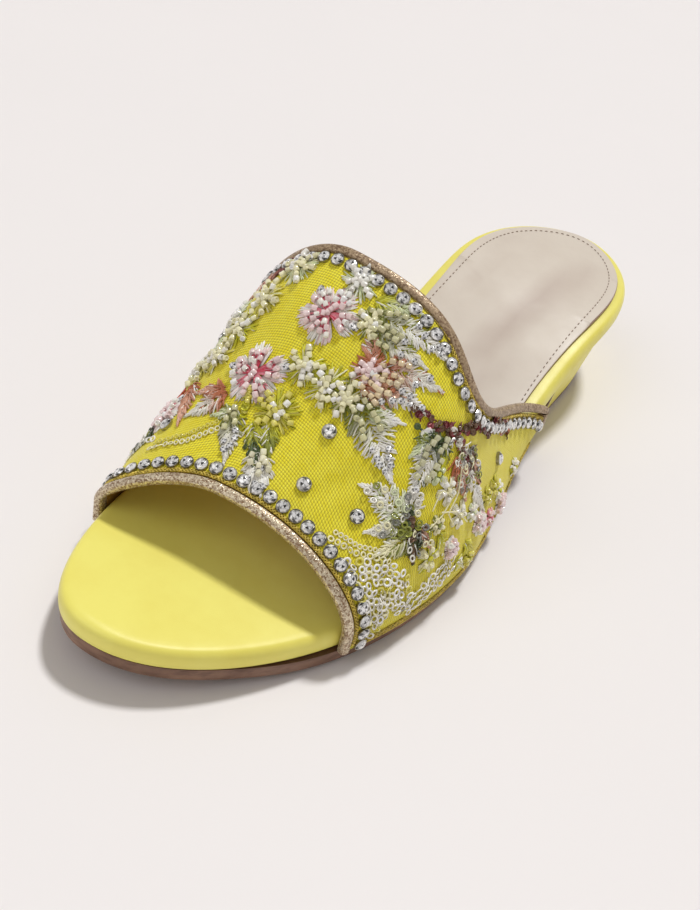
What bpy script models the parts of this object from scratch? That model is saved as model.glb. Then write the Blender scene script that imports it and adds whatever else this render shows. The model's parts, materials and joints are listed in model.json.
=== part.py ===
"""An open-toe heeled mule for the left foot, modelled as its separate pieces.

The toe points along -Y and the outer side of the foot along +X. The origin is on the floor, under the
middle of the seat, where the heel stands.
"""

import functools
import math

import bmesh
import bpy
import numpy as np
from mathutils import Vector

# Driving dimensions, in metres
FOOTBED_LENGTH = 0.253
BALL_WIDTH = 0.0845
SEAT_WIDTH = 0.0615
HEEL_LIFT = 0.026
TOE_SPRING = 0.0063
TOE_SWING = 0.012
INSTEP_RISE = 0.070
OUTSOLE_THICKNESS = 0.0043
WAIST_THICKNESS = 0.0024
FOOTBED_THICKNESS = 0.0068
FOOTBED_ROLL = 0.0034
LINING_THICKNESS = 0.0010
LINING_INSET = 0.0050
UPPER_WALL = 0.0018
PIPING_WIDTH = 0.0030
PIPING_PROUD = 0.0009
TOE_SETBACK = 0.0006
SEAT_SETBACK = 0.0018
OUTSOLE_REVEAL = 0.0004
HEEL_TOP_SETBACK = 0.0030
HEEL_FOOT_SETBACK = 0.0085
HEEL_BREAST_SETBACK = 0.0032
HEEL_BREAST_RAKE = 0.0040
CLEARANCE = 0.0003

# Places along the footbed, as shares of its length from the toe tip
ORIGIN_SHARE = 0.83
TOE_REST_SHARE = 0.24
ARCH_SHARE = 0.42
SEAT_SHARE = 0.85
HEEL_BREAST_SHARE = 0.665
LINING_SHARE = 0.36
SWING_SHARE = 0.55
SEAT_MARGIN_SHARE = 0.72

# Share of the heel lift that the S of the waist takes, the rest being the seat's gentle slope
WAIST_LIFT = 0.9

# Footbed outline: angle round each end in degrees, half width of the inner side and of the outer side.
# The half widths are shares of the width named for that stretch, before the rounding of the two ends.
OUTLINE = (
    (0, 0.544, 0.706),
    (25, 0.536, 0.627),
    (50, 0.547, 0.596),
    (75, 0.480, 0.536),
    (100, 0.409, 0.455),
    (125, 0.600, 0.616),
    (150, 0.785, 0.785),
    (180, 0.745, 0.745),
)
BALL_ANGLE = 75
SEAT_ANGLE = 125
INNER, OUTER = 1, 2

# Sections of the upper: share of the length, height of the crown as a share of INSTEP_RISE, its shift
# as a share of BALL_WIDTH, then for the inner and the outer side how high the wall climbs before it
# turns, how full the crown is, and how far the wall leans out for its climb.
SECTIONS = (
    (0.14, 0.21, -0.142, 0.49, 0.59, 0.03, 0.51, 0.65, -0.07),
    (0.26, 0.465, -0.145, 0.56, 0.625, 0.18, 0.56, 0.71, -0.19),
    (0.38, 0.847, -0.194, 0.63, 0.66, 0.33, 0.61, 0.77, -0.32),
    (0.50, 1.011, -0.234, 0.70, 0.70, 0.48, 0.66, 0.83, -0.44),
    (0.64, 1.018, -0.256, 0.79, 0.74, 0.60, 0.72, 0.90, -0.59),
)
CROWN, SHIFT, INNER_CLIMB, OUTER_CLIMB = 1, 2, 3, 6

# Edges of the upper: girth from -1 at the inner side of the footbed over 0 at the crown to 1 at its
# outer side, and share of the length.
FRONT_EDGE = (
    (-1.0, 0.141),
    (-0.6, 0.142),
    (-0.3, 0.159),
    (0.0, 0.179),
    (0.3, 0.185),
    (0.6, 0.183),
    (1.0, 0.182),
)
TOPLINE = (
    (-1.0, 0.630),
    (-0.8, 0.505),
    (-0.6, 0.435),
    (-0.35, 0.420),
    (0.0, 0.421),
    (0.35, 0.420),
    (0.6, 0.427),
    (0.8, 0.504),
    (1.0, 0.638),
)

# How finely the pieces are divided
OUTLINE_STEPS = 32
GIRTH_STEPS = 36
SKIRT_STEPS = 3
UPPER_ROWS = 20
CUT_BACK_TRIES = 4

MATERIALS = {
    "outsole": ((0.30, 0.17, 0.12), 0.55),
    "footbed": ((0.86, 0.80, 0.17), 0.42),
    "sock_lining": ((0.70, 0.61, 0.51), 0.60),
    "heel": ((0.80, 0.74, 0.16), 0.45),
    "upper": ((0.72, 0.64, 0.02), 0.80),
    "front_piping": ((0.55, 0.40, 0.32), 0.45),
    "topline_piping": ((0.48, 0.34, 0.26), 0.55),
}


@functools.lru_cache(maxsize=None)
def curve_bends(table, column):
    """Bends at the rows of a table, for a natural cubic through one of its columns."""
    x = [row[0] for row in table]
    y = [row[column] for row in table]
    system = np.eye(len(x))
    target = np.zeros(len(x))
    for i in range(1, len(x) - 1):
        before = x[i] - x[i - 1]
        after = x[i + 1] - x[i]
        system[i, i - 1:i + 2] = before / 6, (before + after) / 3, after / 6
        target[i] = (y[i + 1] - y[i]) / after - (y[i] - y[i - 1]) / before
    return np.linalg.solve(system, target)


def read_table(table, at, column):
    """Value of a column at any place between the rows, on a smooth curve through them."""
    bends = curve_bends(table, column)
    i = 0
    while i < len(table) - 2 and at > table[i + 1][0]:
        i += 1
    gap = table[i + 1][0] - table[i][0]
    a = (table[i + 1][0] - at) / gap
    b = 1 - a
    bow = ((a ** 3 - a) * bends[i] + (b ** 3 - b) * bends[i + 1]) * gap * gap / 6
    return a * table[i][column] + b * table[i + 1][column] + bow


def ease(value, start, end):
    """0 before start, 1 past end, and an S curve between them."""
    t = min(max((value - start) / (end - start), 0), 1)
    return t * t * (3 - 2 * t)


def along(share):
    """Y of a place given as a share of the footbed's length from the toe tip."""
    return (share - ORIGIN_SHARE) * FOOTBED_LENGTH


def share_at(y):
    """Share of the footbed's length at a given Y."""
    return y / FOOTBED_LENGTH + ORIGIN_SHARE


def angle_at(share):
    """Angle round the outline, in degrees, at a share of the length."""
    return math.degrees(math.acos(1 - 2 * min(max(share, 0), 1)))


def rest_height(share):
    """Height of the forepart's underside, which the arch and the seat carry on."""
    spring = TOE_SPRING * max(0, 1 - share / TOE_REST_SHARE) ** 2
    waist = ease(share, ARCH_SHARE, SEAT_SHARE)
    slope = min(max((share - ARCH_SHARE) / (1 - ARCH_SHARE), 0), 1)
    return spring + HEEL_LIFT * (WAIST_LIFT * waist + (1 - WAIST_LIFT) * slope)


def board_height(share):
    """Height of the plane where the footbed and the upper meet the outsole."""
    return rest_height(share) + OUTSOLE_THICKNESS


def bed_height(share):
    """Height of the footbed's top."""
    return board_height(share) + CLEARANCE + FOOTBED_THICKNESS


def outsole_thickness(share):
    """Full under the forepart, thinner from the waist back."""
    return OUTSOLE_THICKNESS - (OUTSOLE_THICKNESS - WAIST_THICKNESS) * ease(share, ARCH_SHARE, HEEL_BREAST_SHARE)


def middle_line(share):
    """X of the line that both half widths are measured from, swung inward at the toe."""
    return -TOE_SWING * max(0, 1 - share / SWING_SHARE) ** 2


def half_width(angle, side, inset):
    """Half width of the footbed on one side, set in by a distance."""
    width = BALL_WIDTH + (SEAT_WIDTH - BALL_WIDTH) * ease(angle, BALL_ANGLE, SEAT_ANGLE)
    return math.sin(math.radians(angle)) * (read_table(OUTLINE, angle, side) * width - inset)


def edge_x(share, side, outset):
    """X of the footbed's edge at a share of the length, moved out by a distance."""
    reach = half_width(angle_at(share), side, 0) + outset
    return middle_line(share) + (reach if side == OUTER else -reach)


def plan_point(angle, side, inset):
    """Place on the outline seen from above, set in by a distance that may change along the length."""
    share = (1 - math.cos(math.radians(angle))) / 2
    toe_inset = inset(0)
    y = along(0) + toe_inset + share * (FOOTBED_LENGTH - toe_inset - inset(1))
    reach = half_width(angle, side, inset(share))
    return middle_line(share) + (reach if side == OUTER else -reach), y


def plan_ring(inset, height, start_share=0):
    """Closed ring round the outline from a share of the length back, at a height along the length."""
    start = angle_at(start_share)
    angles = [start + (180 - start) * i / OUTLINE_STEPS for i in range(OUTLINE_STEPS + 1)]
    inner = [plan_point(angle, INNER, inset) for angle in angles]
    outer = [plan_point(angle, OUTER, inset) for angle in angles]
    ring = inner + outer[-2:0:-1]
    if start_share > 0:
        ring.append(outer[0])
    return [Vector((x, y, height(share_at(y)))) for x, y in ring]


def ladder_cap(mesh, ring):
    """Close a ring with faces from its inner side straight across to its outer side."""
    far_end = len(ring) // 2
    for i in range(far_end):
        across = 2 * far_end - i
        corners = (ring[i], ring[i + 1], ring[across - 1], ring[across % len(ring)])
        mesh.faces.new(dict.fromkeys(corners))


def join_rings(mesh, first, second):
    """Band of faces between two rings of equal count."""
    count = len(first)
    for i in range(count):
        j = (i + 1) % count
        mesh.faces.new((first[i], first[j], second[j], second[i]))


def add_piece(name, mesh, sharp_angle=40):
    """Object, with its material, from a bmesh whose faces are turned outward."""
    bmesh.ops.recalc_face_normals(mesh, faces=mesh.faces)
    data = bpy.data.meshes.new(name)
    mesh.to_mesh(data)
    mesh.free()
    data.shade_smooth()
    data.set_sharp_from_angle(angle=math.radians(sharp_angle))
    piece = bpy.data.objects.new(name, data)
    bpy.data.collections["slipper"].objects.link(piece)
    data.materials.append(make_material(name))
    return piece


def make_material(name):
    """Plain material of a piece, from its colour and roughness."""
    colour, roughness = MATERIALS[name]
    material = bpy.data.materials.new(name)
    material.use_nodes = True
    shader = material.node_tree.nodes["Principled BSDF"]
    shader.inputs["Base Color"].default_value = (*colour, 1)
    shader.inputs["Roughness"].default_value = roughness
    shader.inputs["Metallic"].default_value = 0
    return material


def stack_rings(name, rings):
    """Closed piece through a stack of rings, with a cap on the first and on the last."""
    mesh = bmesh.new()
    loops = [[mesh.verts.new(point) for point in ring] for ring in rings]
    for below, above in zip(loops, loops[1:]):
        join_rings(mesh, below, above)
    ladder_cap(mesh, loops[0])
    ladder_cap(mesh, loops[-1])
    return add_piece(name, mesh)


def outsole_inset(share):
    """Set in at the toe and the seat, and out under the wall of the upper between them."""
    under_wall = OUTSOLE_REVEAL - UPPER_WALL - CLEARANCE
    front = FRONT_EDGE[0][1]
    back = TOPLINE[-1][1]
    inset = TOE_SETBACK + (under_wall - TOE_SETBACK) * ease(share, 0.5 * front, front)
    return inset + (SEAT_SETBACK - under_wall) * ease(share, back, SEAT_MARGIN_SHARE)


def make_outsole():
    """Thin sole with softened edges, flat under the forepart."""
    rings = []
    for inward, level in ((0.35, 0), (0.08, 0.12), (0, 0.3), (0, 0.75), (0.12, 1)):
        def inset(share, inward=inward):
            return outsole_inset(share) + inward * WAIST_THICKNESS

        def height(share, level=level):
            return board_height(share) - outsole_thickness(share) * (1 - level)

        rings.append(plan_ring(inset, height))
    return stack_rings("outsole", rings)


def make_footbed():
    """Padded board whose side rolls over into its top."""
    rings = []
    for inward, level in ((0.3, 0), (0.08, 0.06), (0, 0.2), (0, 0.5), (0.12, 0.74), (0.42, 0.92), (1, 1)):
        def height(share, level=level):
            return board_height(share) + CLEARANCE + FOOTBED_THICKNESS * level

        rings.append(plan_ring(lambda share, inward=inward: inward * FOOTBED_ROLL, height))
    return stack_rings("footbed", rings)


def make_sock_lining():
    """Thin sheet on the footbed, from under the upper to the back of the seat."""
    rings = []
    for inward, level in ((0, 0), (0, 0.6), (0.4, 1)):
        def height(share, level=level):
            return bed_height(share) + CLEARANCE + LINING_THICKNESS * level

        def inset(share, inward=inward):
            return LINING_INSET + inward * LINING_THICKNESS

        rings.append(plan_ring(inset, height, LINING_SHARE))
    return stack_rings("sock_lining", rings)


def make_heel():
    """Block under the seat, flush with the sole at its breast and drawn in toward its foot."""
    breast_angle = angle_at(HEEL_BREAST_SHARE)

    def seat(share):
        return board_height(share) - outsole_thickness(share) - CLEARANCE

    def inset_at(level):
        def inset(share):
            back = HEEL_FOOT_SETBACK + (HEEL_TOP_SETBACK - HEEL_FOOT_SETBACK) * level
            return HEEL_BREAST_SETBACK + (back - HEEL_BREAST_SETBACK) * ease(share, HEEL_BREAST_SHARE, SEAT_SHARE)
        return inset

    rings = []
    for level in (0, 0.08, 0.5, 1):
        rake = HEEL_BREAST_RAKE / FOOTBED_LENGTH * (1 - level)
        ring = plan_ring(inset_at(level), lambda share, level=level: seat(share) * level, HEEL_BREAST_SHARE + rake)
        rings.append(ring)
    return stack_rings("heel", rings)


def upper_point(girth, share):
    """Place on the outer face of the upper.

    Girth runs from -1 to 1 over the crown, and on to -2 and 2 down the skirt round the footbed.
    """
    side = INNER if girth < 0 else OUTER
    outward = -1 if girth < 0 else 1
    base_x = edge_x(share, side, CLEARANCE + UPPER_WALL)
    base_z = bed_height(share)
    if abs(girth) > 1:
        drop = (abs(girth) - 1) * FOOTBED_THICKNESS
        return Vector((base_x, along(share), base_z - drop))
    first = INNER_CLIMB if side == INNER else OUTER_CLIMB
    rise = read_table(SECTIONS, share, CROWN) * INSTEP_RISE
    crown_x = read_table(SECTIONS, share, SHIFT) * BALL_WIDTH
    climb, fullness, lean = (read_table(SECTIONS, share, first + i) for i in range(3))
    corners = (
        (base_x, 0),
        (base_x + outward * lean * climb * rise, climb * rise),
        (crown_x + fullness * (base_x - crown_x), rise),
        (crown_x, rise),
    )
    t = 1 - abs(girth)
    weights = ((1 - t) ** 3, 3 * t * (1 - t) ** 2, 3 * t * t * (1 - t), t ** 3)
    x = sum(weight * corner[0] for weight, corner in zip(weights, corners))
    z = sum(weight * corner[1] for weight, corner in zip(weights, corners))
    return Vector((x, along(share), base_z + z))


def girth_stations():
    """Girths from the foot of the inner skirt over the crown to the foot of the outer skirt."""
    crown = [-1 + 2 * i / GIRTH_STEPS for i in range(GIRTH_STEPS + 1)]
    skirt = [1 + (i + 1) / SKIRT_STEPS for i in range(SKIRT_STEPS)]
    return [-girth for girth in reversed(skirt)] + crown + skirt


def edge_frames(edge):
    """Place, way into the sheet, outward normal, girth and share at each station of an edge."""
    stations = girth_stations()
    shares = [read_table(edge, min(max(girth, -1), 1), 1) for girth in stations]
    points = [upper_point(girth, share) for girth, share in zip(stations, shares)]
    middle_share = 0.5 * (FRONT_EDGE[3][1] + TOPLINE[4][1])
    frames = []
    for i, (girth, share) in enumerate(zip(stations, shares)):
        before = points[max(i - 1, 0)]
        after = points[min(i + 1, len(points) - 1)]
        tangent = (after - before).normalized()
        step = 0.002
        forward = upper_point(girth, share + step) - upper_point(girth, share - step)
        normal = forward.cross(tangent).normalized()
        inward = normal.cross(tangent).normalized()
        if inward.dot(forward) * (middle_share - share) < 0:
            inward.negate()
        frames.append((points[i], inward, outward_normal(normal, points[i]), girth, share))
    return frames


def outward_normal(normal, point):
    """The normal turned away from the inside of the foot."""
    inside = Vector((0, point.y, bed_height(share_at(point.y))))
    return -normal if normal.dot(point - inside) < 0 else normal


def cut_back(frame, distance):
    """Girth and share of the place that lies a distance into the sheet from its edge."""
    point, inward, _, girth, share = frame
    target = point + inward * distance
    step = 0.001
    for _ in range(CUT_BACK_TRIES):
        miss = np.array(target - upper_point(girth, share))
        by_share = (upper_point(girth, share + step) - upper_point(girth, share - step)) / (2 * step)
        by_girth = (upper_point(girth + step, share) - upper_point(girth - step, share)) / (2 * step)
        moved = np.linalg.lstsq(np.array([by_girth, by_share]).T, miss, rcond=None)[0]
        girth += float(moved[0])
        share += float(moved[1])
    return girth, share


def sheet_edge(edge):
    """Girth and share along the edge of the upper's wall, set back behind its piping.

    Round the skirt the edge runs straight down from where it turns to the outsole.
    """
    distance = PIPING_WIDTH + CLEARANCE
    frames = edge_frames(edge)
    places = [cut_back(frame, distance) for frame in frames]
    for foot, way in ((0, 1), (len(frames) - 1, -1)):
        turn_girth = places[foot + way * SKIRT_STEPS][0]
        foot_girth = frames[foot][3]
        foot_share = share_at(frames[foot][0].y + frames[foot][1].y * distance)
        for i in range(SKIRT_STEPS + 1):
            t = i / SKIRT_STEPS
            places[foot + way * i] = (foot_girth + (turn_girth - foot_girth) * t, foot_share)
    return places


def make_upper():
    """Shell of the upper, a sheet between its two cut-back edges made solid inward."""
    front = sheet_edge(FRONT_EDGE)
    back = sheet_edge(TOPLINE)
    mesh = bmesh.new()
    rows = []
    for step in range(UPPER_ROWS + 1):
        t = step / UPPER_ROWS
        row = []
        for (girth_a, share_a), (girth_b, share_b) in zip(front, back):
            girth = girth_a + (girth_b - girth_a) * t
            share = share_a + (share_b - share_a) * t
            row.append(mesh.verts.new(upper_point(girth, share)))
        rows.append(row)
    for near, far in zip(rows, rows[1:]):
        for i in range(len(near) - 1):
            mesh.faces.new((near[i], near[i + 1], far[i + 1], far[i]))
    piece = add_piece("upper", mesh)
    wall = piece.modifiers.new("wall", "SOLIDIFY")
    wall.thickness = UPPER_WALL
    wall.offset = -1
    wall.use_even_offset = True
    return piece


def piping_section():
    """Rounded section across the piping: way into the sheet and way out of it, from the wall's inner face."""
    width = PIPING_WIDTH
    depth = UPPER_WALL + PIPING_PROUD
    corner = 0.3 * depth
    return (
        (0, corner),
        (0.3 * corner, 0.3 * corner),
        (corner, 0),
        (width, 0),
        (width, depth - corner),
        (width - 0.3 * corner, depth - 0.3 * corner),
        (width - corner, depth),
        (corner, depth),
        (0.3 * corner, depth - 0.3 * corner),
        (0, depth - corner),
    )


def make_piping(name, edge):
    """Piping laid along an edge of the upper, standing on the outsole at both ends."""
    mesh = bmesh.new()
    frames = edge_frames(edge)
    loops = []
    for i, (point, inward, normal, _, _) in enumerate(frames):
        at_end = i in (0, len(frames) - 1)
        loop = []
        for reach, lift in piping_section():
            place = point + inward * reach + normal * (lift - UPPER_WALL)
            if at_end:
                place.z = board_height(share_at(place.y)) + CLEARANCE
            loop.append(mesh.verts.new(place))
        loops.append(loop)
    for near, far in zip(loops, loops[1:]):
        join_rings(mesh, near, far)
    mesh.faces.new(loops[0])
    mesh.faces.new(loops[-1])
    return add_piece(name, mesh)


def main():
    for item in list(bpy.data.objects):
        bpy.data.objects.remove(item, do_unlink=True)
    bpy.context.scene.collection.children.link(bpy.data.collections.new("slipper"))
    make_outsole()
    make_footbed()
    make_sock_lining()
    make_heel()
    make_upper()
    make_piping("front_piping", FRONT_EDGE)
    make_piping("topline_piping", TOPLINE)


main()
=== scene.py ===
"""Looks of an embroidered left slipper, laid out as an add-on and run as a script.

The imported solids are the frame. This script dresses them in cloth and leather and adds the stones, beads,
sequins and threads that are sewn on the upper. A place on the upper is given by its Y in millimetres and
by its angle round the foot in degrees, from 0 at the top to 90 at the outer side.
"""

import json
import math
import random

import bmesh
import bpy
import numpy as np
from mathutils import Matrix, Vector
from mathutils.bvhtree import BVHTree

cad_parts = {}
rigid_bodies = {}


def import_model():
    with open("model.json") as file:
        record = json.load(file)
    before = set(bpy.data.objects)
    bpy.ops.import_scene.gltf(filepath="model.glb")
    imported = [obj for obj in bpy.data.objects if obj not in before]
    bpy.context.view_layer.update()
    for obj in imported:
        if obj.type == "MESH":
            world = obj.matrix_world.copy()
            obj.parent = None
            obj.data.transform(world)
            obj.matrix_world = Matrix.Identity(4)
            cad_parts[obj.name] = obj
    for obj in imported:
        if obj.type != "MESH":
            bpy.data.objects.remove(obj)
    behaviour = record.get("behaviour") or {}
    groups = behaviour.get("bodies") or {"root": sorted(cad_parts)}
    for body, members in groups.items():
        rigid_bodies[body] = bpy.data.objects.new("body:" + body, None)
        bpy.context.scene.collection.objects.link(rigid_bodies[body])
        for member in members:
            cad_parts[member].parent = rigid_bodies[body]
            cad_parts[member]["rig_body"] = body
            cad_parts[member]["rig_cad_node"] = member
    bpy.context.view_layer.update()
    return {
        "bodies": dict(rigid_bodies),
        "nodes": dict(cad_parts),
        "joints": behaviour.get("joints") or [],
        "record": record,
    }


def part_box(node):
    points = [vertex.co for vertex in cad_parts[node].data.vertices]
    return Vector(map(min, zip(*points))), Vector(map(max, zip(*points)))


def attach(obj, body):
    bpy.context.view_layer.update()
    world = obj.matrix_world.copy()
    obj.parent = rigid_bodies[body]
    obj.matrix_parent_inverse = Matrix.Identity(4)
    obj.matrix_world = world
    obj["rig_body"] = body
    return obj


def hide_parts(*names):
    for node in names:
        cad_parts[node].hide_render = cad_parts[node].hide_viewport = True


bl_info = {
    "name": "Embroidered slipper looks",
    "version": (1, 0, 0),
    "blender": (4, 5, 0),
    "location": "3D View > Sidebar > Slipper",
    "description": "Dresses the slipper in cloth and leather and sews its stones, beads and threads on",
    "category": "Object",
}

for stray in list(bpy.data.objects):
    bpy.data.objects.remove(stray, do_unlink=True)
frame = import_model()
MM = 0.001
PI = math.pi
UP = Vector((0, 0, 1))

# Height of the line that runs along the foot, round which the angles are measured
FOOT_AXIS_Z = 0.010

# Distance from that line at which a ray starts outside the cloth, lift of a point that looks for the outside,
# and halvings that find an edge
RAY_START = 0.12
OUTSIDE_LIFT = 0.0012
HALVINGS = 14

# Y and angle over which the cloth is measured, each from, to and number of steps
CLOTH_YS = (-0.176, -0.048, 65)
CLOTH_ANGLES = (-100, 100, 81)

# Lower edges of the cloth: Y of the front end on each side, and of the rear end
HEM_FRONTS = {-1: -0.166, 1: -0.156}
HEM_REAR = -0.058

# Edges of the cloth: how far round they reach in degrees, a Y on the cloth, a Y beyond it, and the way inward
FRONT_EDGE = (96, -0.148, -0.182, 1)
REAR_EDGE = (72, -0.122, -0.035, -1)


def tone(code):
    """Scene-linear colour from a six-digit colour code."""
    values = [int(code[i:i + 2], 16) / 255 for i in (0, 2, 4)]
    return tuple(v / 12.92 if v <= 0.04045 else ((v + 0.055) / 1.055) ** 2.4 for v in values)


THREADS = {name: tone(code) for name, code in {
    "white": "fefbf2", "silver": "efece0", "grey": "85867e", "blush": "f8dede", "rose": "e88f9c",
    "red": "d23f58", "cream": "f5f0c6", "straw": "e6dd6c", "lime": "cfcd2e", "olive": "8c9238",
    "green": "4a5c34", "mint": "dde5bb", "rust": "c0704a", "peach": "e6b49a", "coral": "d8604e",
    "maroon": "7c3036", "brown": "6d5038", "gold": "d2ba50",
}.items()}

# Rose flowers: Y, angle, radius in mm, turn in degrees; over a radius of LARGE_ROSE they are sewn more richly
LARGE_ROSE = 5
ROSES = (
    (-120.0, -13.0, 9.3, 15),
    (-137.0, -28.5, 9.4, 50),
    (-107.5, 79.0, 4.3, 0),
    (-124.8, 75.8, 4.0, 30),
    (-88.5, 87.0, 4.2, 10),
    (-118.0, -67.0, 9.0, 20),
    (-147.0, -66.0, 6.6, 60),
    (-92.0, -80.0, 5.8, 40),
)

# Cut beads on a petal: share of its reach, and swing from its middle in radians
PETAL_BEADS = ((0.3, 0.05), (0.44, -0.34), (0.46, 0.3), (0.6, -0.05), (0.66, -0.36), (0.68, 0.34))

# Bead clusters on thread stars: Y, angle, radius, arms, bead colour, thread colour
CLUSTERS = (
    (-111.0, -27.0, 5.6, 6, "cream", "mint"),
    (-119.0, -34.5, 5.8, 6, "cream", "straw"),
    (-126.4, -40.5, 5.8, 6, "cream", "lime"),
    (-132.8, -47.0, 5.0, 6, "cream", "straw"),
    (-131.4, -12.6, 5.2, 6, "cream", "lime"),
    (-132.2, -2.6, 5.8, 7, "cream", "lime"),
    (-141.9, -15.5, 5.6, 6, "straw", "lime"),
    (-110.4, -9.7, 5.2, 6, "white", "mint"),
    (-132.2, 5.4, 4.8, 6, "cream", "olive"),
    (-117.0, -1.5, 4.2, 5, "cream", "olive"),
    (-125.0, 6.0, 4.6, 6, "blush", "rust"),
    (-106.0, -60.0, 5.8, 6, "cream", "lime"),
    (-133.0, -57.0, 6.4, 7, "cream", "straw"),
    (-130.0, -80.0, 6.0, 7, "white", "lime"),
    (-106.0, -83.0, 6.0, 7, "cream", "lime"),
    (-118.0, -49.0, 5.4, 6, "white", "mint"),
    (-92.0, -67.0, 5.0, 6, "white", "lime"),
    (-140.0, -90.0, 4.2, 5, "cream", "olive"),
    (-154.0, -86.0, 4.4, 5, "cream", "lime"),
    (-76.0, -78.0, 4.4, 5, "cream", "lime"),
)

# Leaves: base Y and angle, tip Y and angle, half width, base colour, tip colour, and the trim if there is one
LEAVES = (
    (-142.6, -37.5, -149.6, -53.0, 4.2, "rust", "silver"),
    (-141.5, -39.0, -143.0, -52.0, 3.2, "rust", "peach"),
    (-145.6, -33.0, -157.2, -28.0, 3.6, "olive", "silver", "stones"),
    (-145.6, -31.0, -148.4, -41.0, 2.8, "olive", "mint"),
    (-146.0, -23.0, -154.6, -13.0, 3.4, "lime", "green"),
    (-144.0, -17.0, -150.6, -8.5, 3.2, "lime", "olive"),
    (-115.4, -3.0, -110.0, 20.0, 4.8, "olive", "white", "stones"),
    (-118.4, 0.0, -116.0, 17.0, 4.0, "olive", "silver", "stones"),
    (-112.4, -4.0, -107.4, 8.0, 3.0, "lime", "mint"),
    (-124.2, 6.0, -117.6, -0.5, 3.6, "rust", "peach"),
    (-123.0, 8.5, -115.8, 25.0, 4.6, "rust", "silver", "stones"),
    (-126.0, 9.0, -122.2, 27.0, 4.2, "peach", "white", "stones"),
    (-127.5, 6.0, -128.5, 17.0, 3.0, "rust", "peach", "beads"),
    (-131.0, 10.0, -137.2, 38.0, 6.0, "olive", "white", "stones"),
    (-131.6, 15.0, -127.6, 25.0, 2.8, "mint", "white"),
    (-121.4, 35.0, -135.6, 46.0, 5.2, "green", "white", "beads"),
    (-121.0, 34.0, -130.2, 34.6, 3.4, "green", "mint"),
    (-120.6, 36.0, -125.4, 47.0, 3.0, "green", "lime"),
    (-115.6, 43.0, -112.6, 60.0, 4.6, "silver", "white", "rings"),
    (-118.4, 44.0, -116.4, 61.0, 4.0, "rust", "peach", "rings"),
    (-112.4, 45.0, -106.8, 61.0, 3.6, "brown", "peach", "rings"),
    (-110.6, 60.0, -103.8, 76.0, 2.8, "white", "silver"),
    (-138.6, 52.0, -142.6, 33.0, 5.0, "mint", "white", "rings"),
    (-137.6, 53.0, -132.4, 44.0, 4.4, "silver", "white", "rings"),
    (-139.0, 56.0, -148.6, 50.0, 3.2, "olive", "white", "rings"),
    (-138.4, 60.0, -149.6, 60.0, 4.2, "olive", "cream"),
    (-137.0, 57.0, -134.0, 68.0, 3.6, "brown", "peach", "rings"),
    (-138.2, 60.0, -140.4, 70.0, 3.4, "green", "brown", "rings"),
    (-129.6, 66.0, -128.6, 76.0, 2.8, "lime", "straw"),
    (-116.6, 80.0, -111.4, 88.0, 2.8, "lime", "straw"),
    (-121.8, 84.0, -116.8, 91.0, 2.6, "lime", "cream"),
    (-151.0, -14.0, -159.4, -6.6, 4.0, "silver", "white", "stones"),
    (-152.4, -9.0, -158.6, 0.0, 3.0, "silver", "white", "stones"),
    (-108.0, -30.0, -113.0, -47.0, 3.0, "maroon", "peach"),
    (-138.0, -62.0, -143.0, -78.0, 4.4, "coral", "rust"),
    (-139.0, -56.0, -152.0, -56.0, 3.4, "rust", "peach"),
    (-124.0, -58.0, -130.0, -48.0, 3.8, "olive", "mint"),
    (-112.0, -62.0, -103.0, -50.0, 4.2, "olive", "white", "stones"),
    (-126.0, -70.0, -137.0, -74.0, 4.6, "rust", "peach", "rings"),
    (-124.0, -74.0, -125.0, -91.0, 4.0, "coral", "rust"),
    (-112.0, -74.0, -100.0, -76.0, 4.2, "rust", "silver", "stones"),
    (-94.0, -74.0, -80.0, -80.0, 4.0, "olive", "white"),
    (-151.0, -70.0, -160.0, -78.0, 3.6, "green", "white", "rings"),
    (-146.0, -80.0, -158.0, -92.0, 4.0, "olive", "silver"),
    (-134.0, -84.0, -147.0, -86.0, 3.8, "lime", "silver"),
    (-122.0, -80.0, -112.0, -92.0, 4.0, "rust", "peach"),
    (-100.0, -68.0, -88.0, -60.0, 4.4, "green", "white", "beads"),
    (-100.0, -70.0, -92.0, -70.0, 3.4, "olive", "mint", "rings"),
    (-138.0, -82.0, -146.0, -92.0, 4.0, "maroon", "coral"),
    (-100.0, -86.0, -84.0, -92.0, 3.6, "brown", "peach", "rings"),
    (-82.0, -72.0, -68.0, -72.0, 3.6, "green", "white", "beads"),
)

# Angle between the leaves of the inner piece and those of the outer, and distance in mm between their threads
LEAF_DIVIDE = -25
LEAF_PITCH = 0.24

# Trims of a leaf: share of its length with beads, and spacing in mm
LEAF_TRIMS = {"beads": (0.75, 1.6), "stones": (0.42, 1.7), "rings": (0, 1.9)}

# Small blossoms: Y, angle, radius, bead colour, thread colour
BLOSSOMS = (
    (-124.0, 52.5, 4.2, "white", "cream"),
    (-120.0, 65.0, 4.2, "white", "cream"),
    (-134.5, 72.5, 4.6, "cream", "lime"),
    (-93.6, 74.0, 3.8, "straw", "lime"),
    (-90.0, 79.0, 3.4, "white", "lime"),
    (-100.4, 73.0, 3.4, "straw", "lime"),
    (-114.0, 89.0, 3.2, "straw", "lime"),
    (-126.0, 45.0, 3.0, "mint", "lime"),
    (-129.8, 62.0, 2.8, "cream", "olive"),
    (-112.0, 70.0, 3.0, "white", "mint"),
    (-98.0, 85.0, 3.2, "blush", "rose"),
    (-75.0, 80.0, 3.0, "white", "lime"),
    (-72.0, -84.0, 3.2, "white", "lime"),
    (-118.0, -90.0, 3.4, "cream", "lime"),
)

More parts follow.
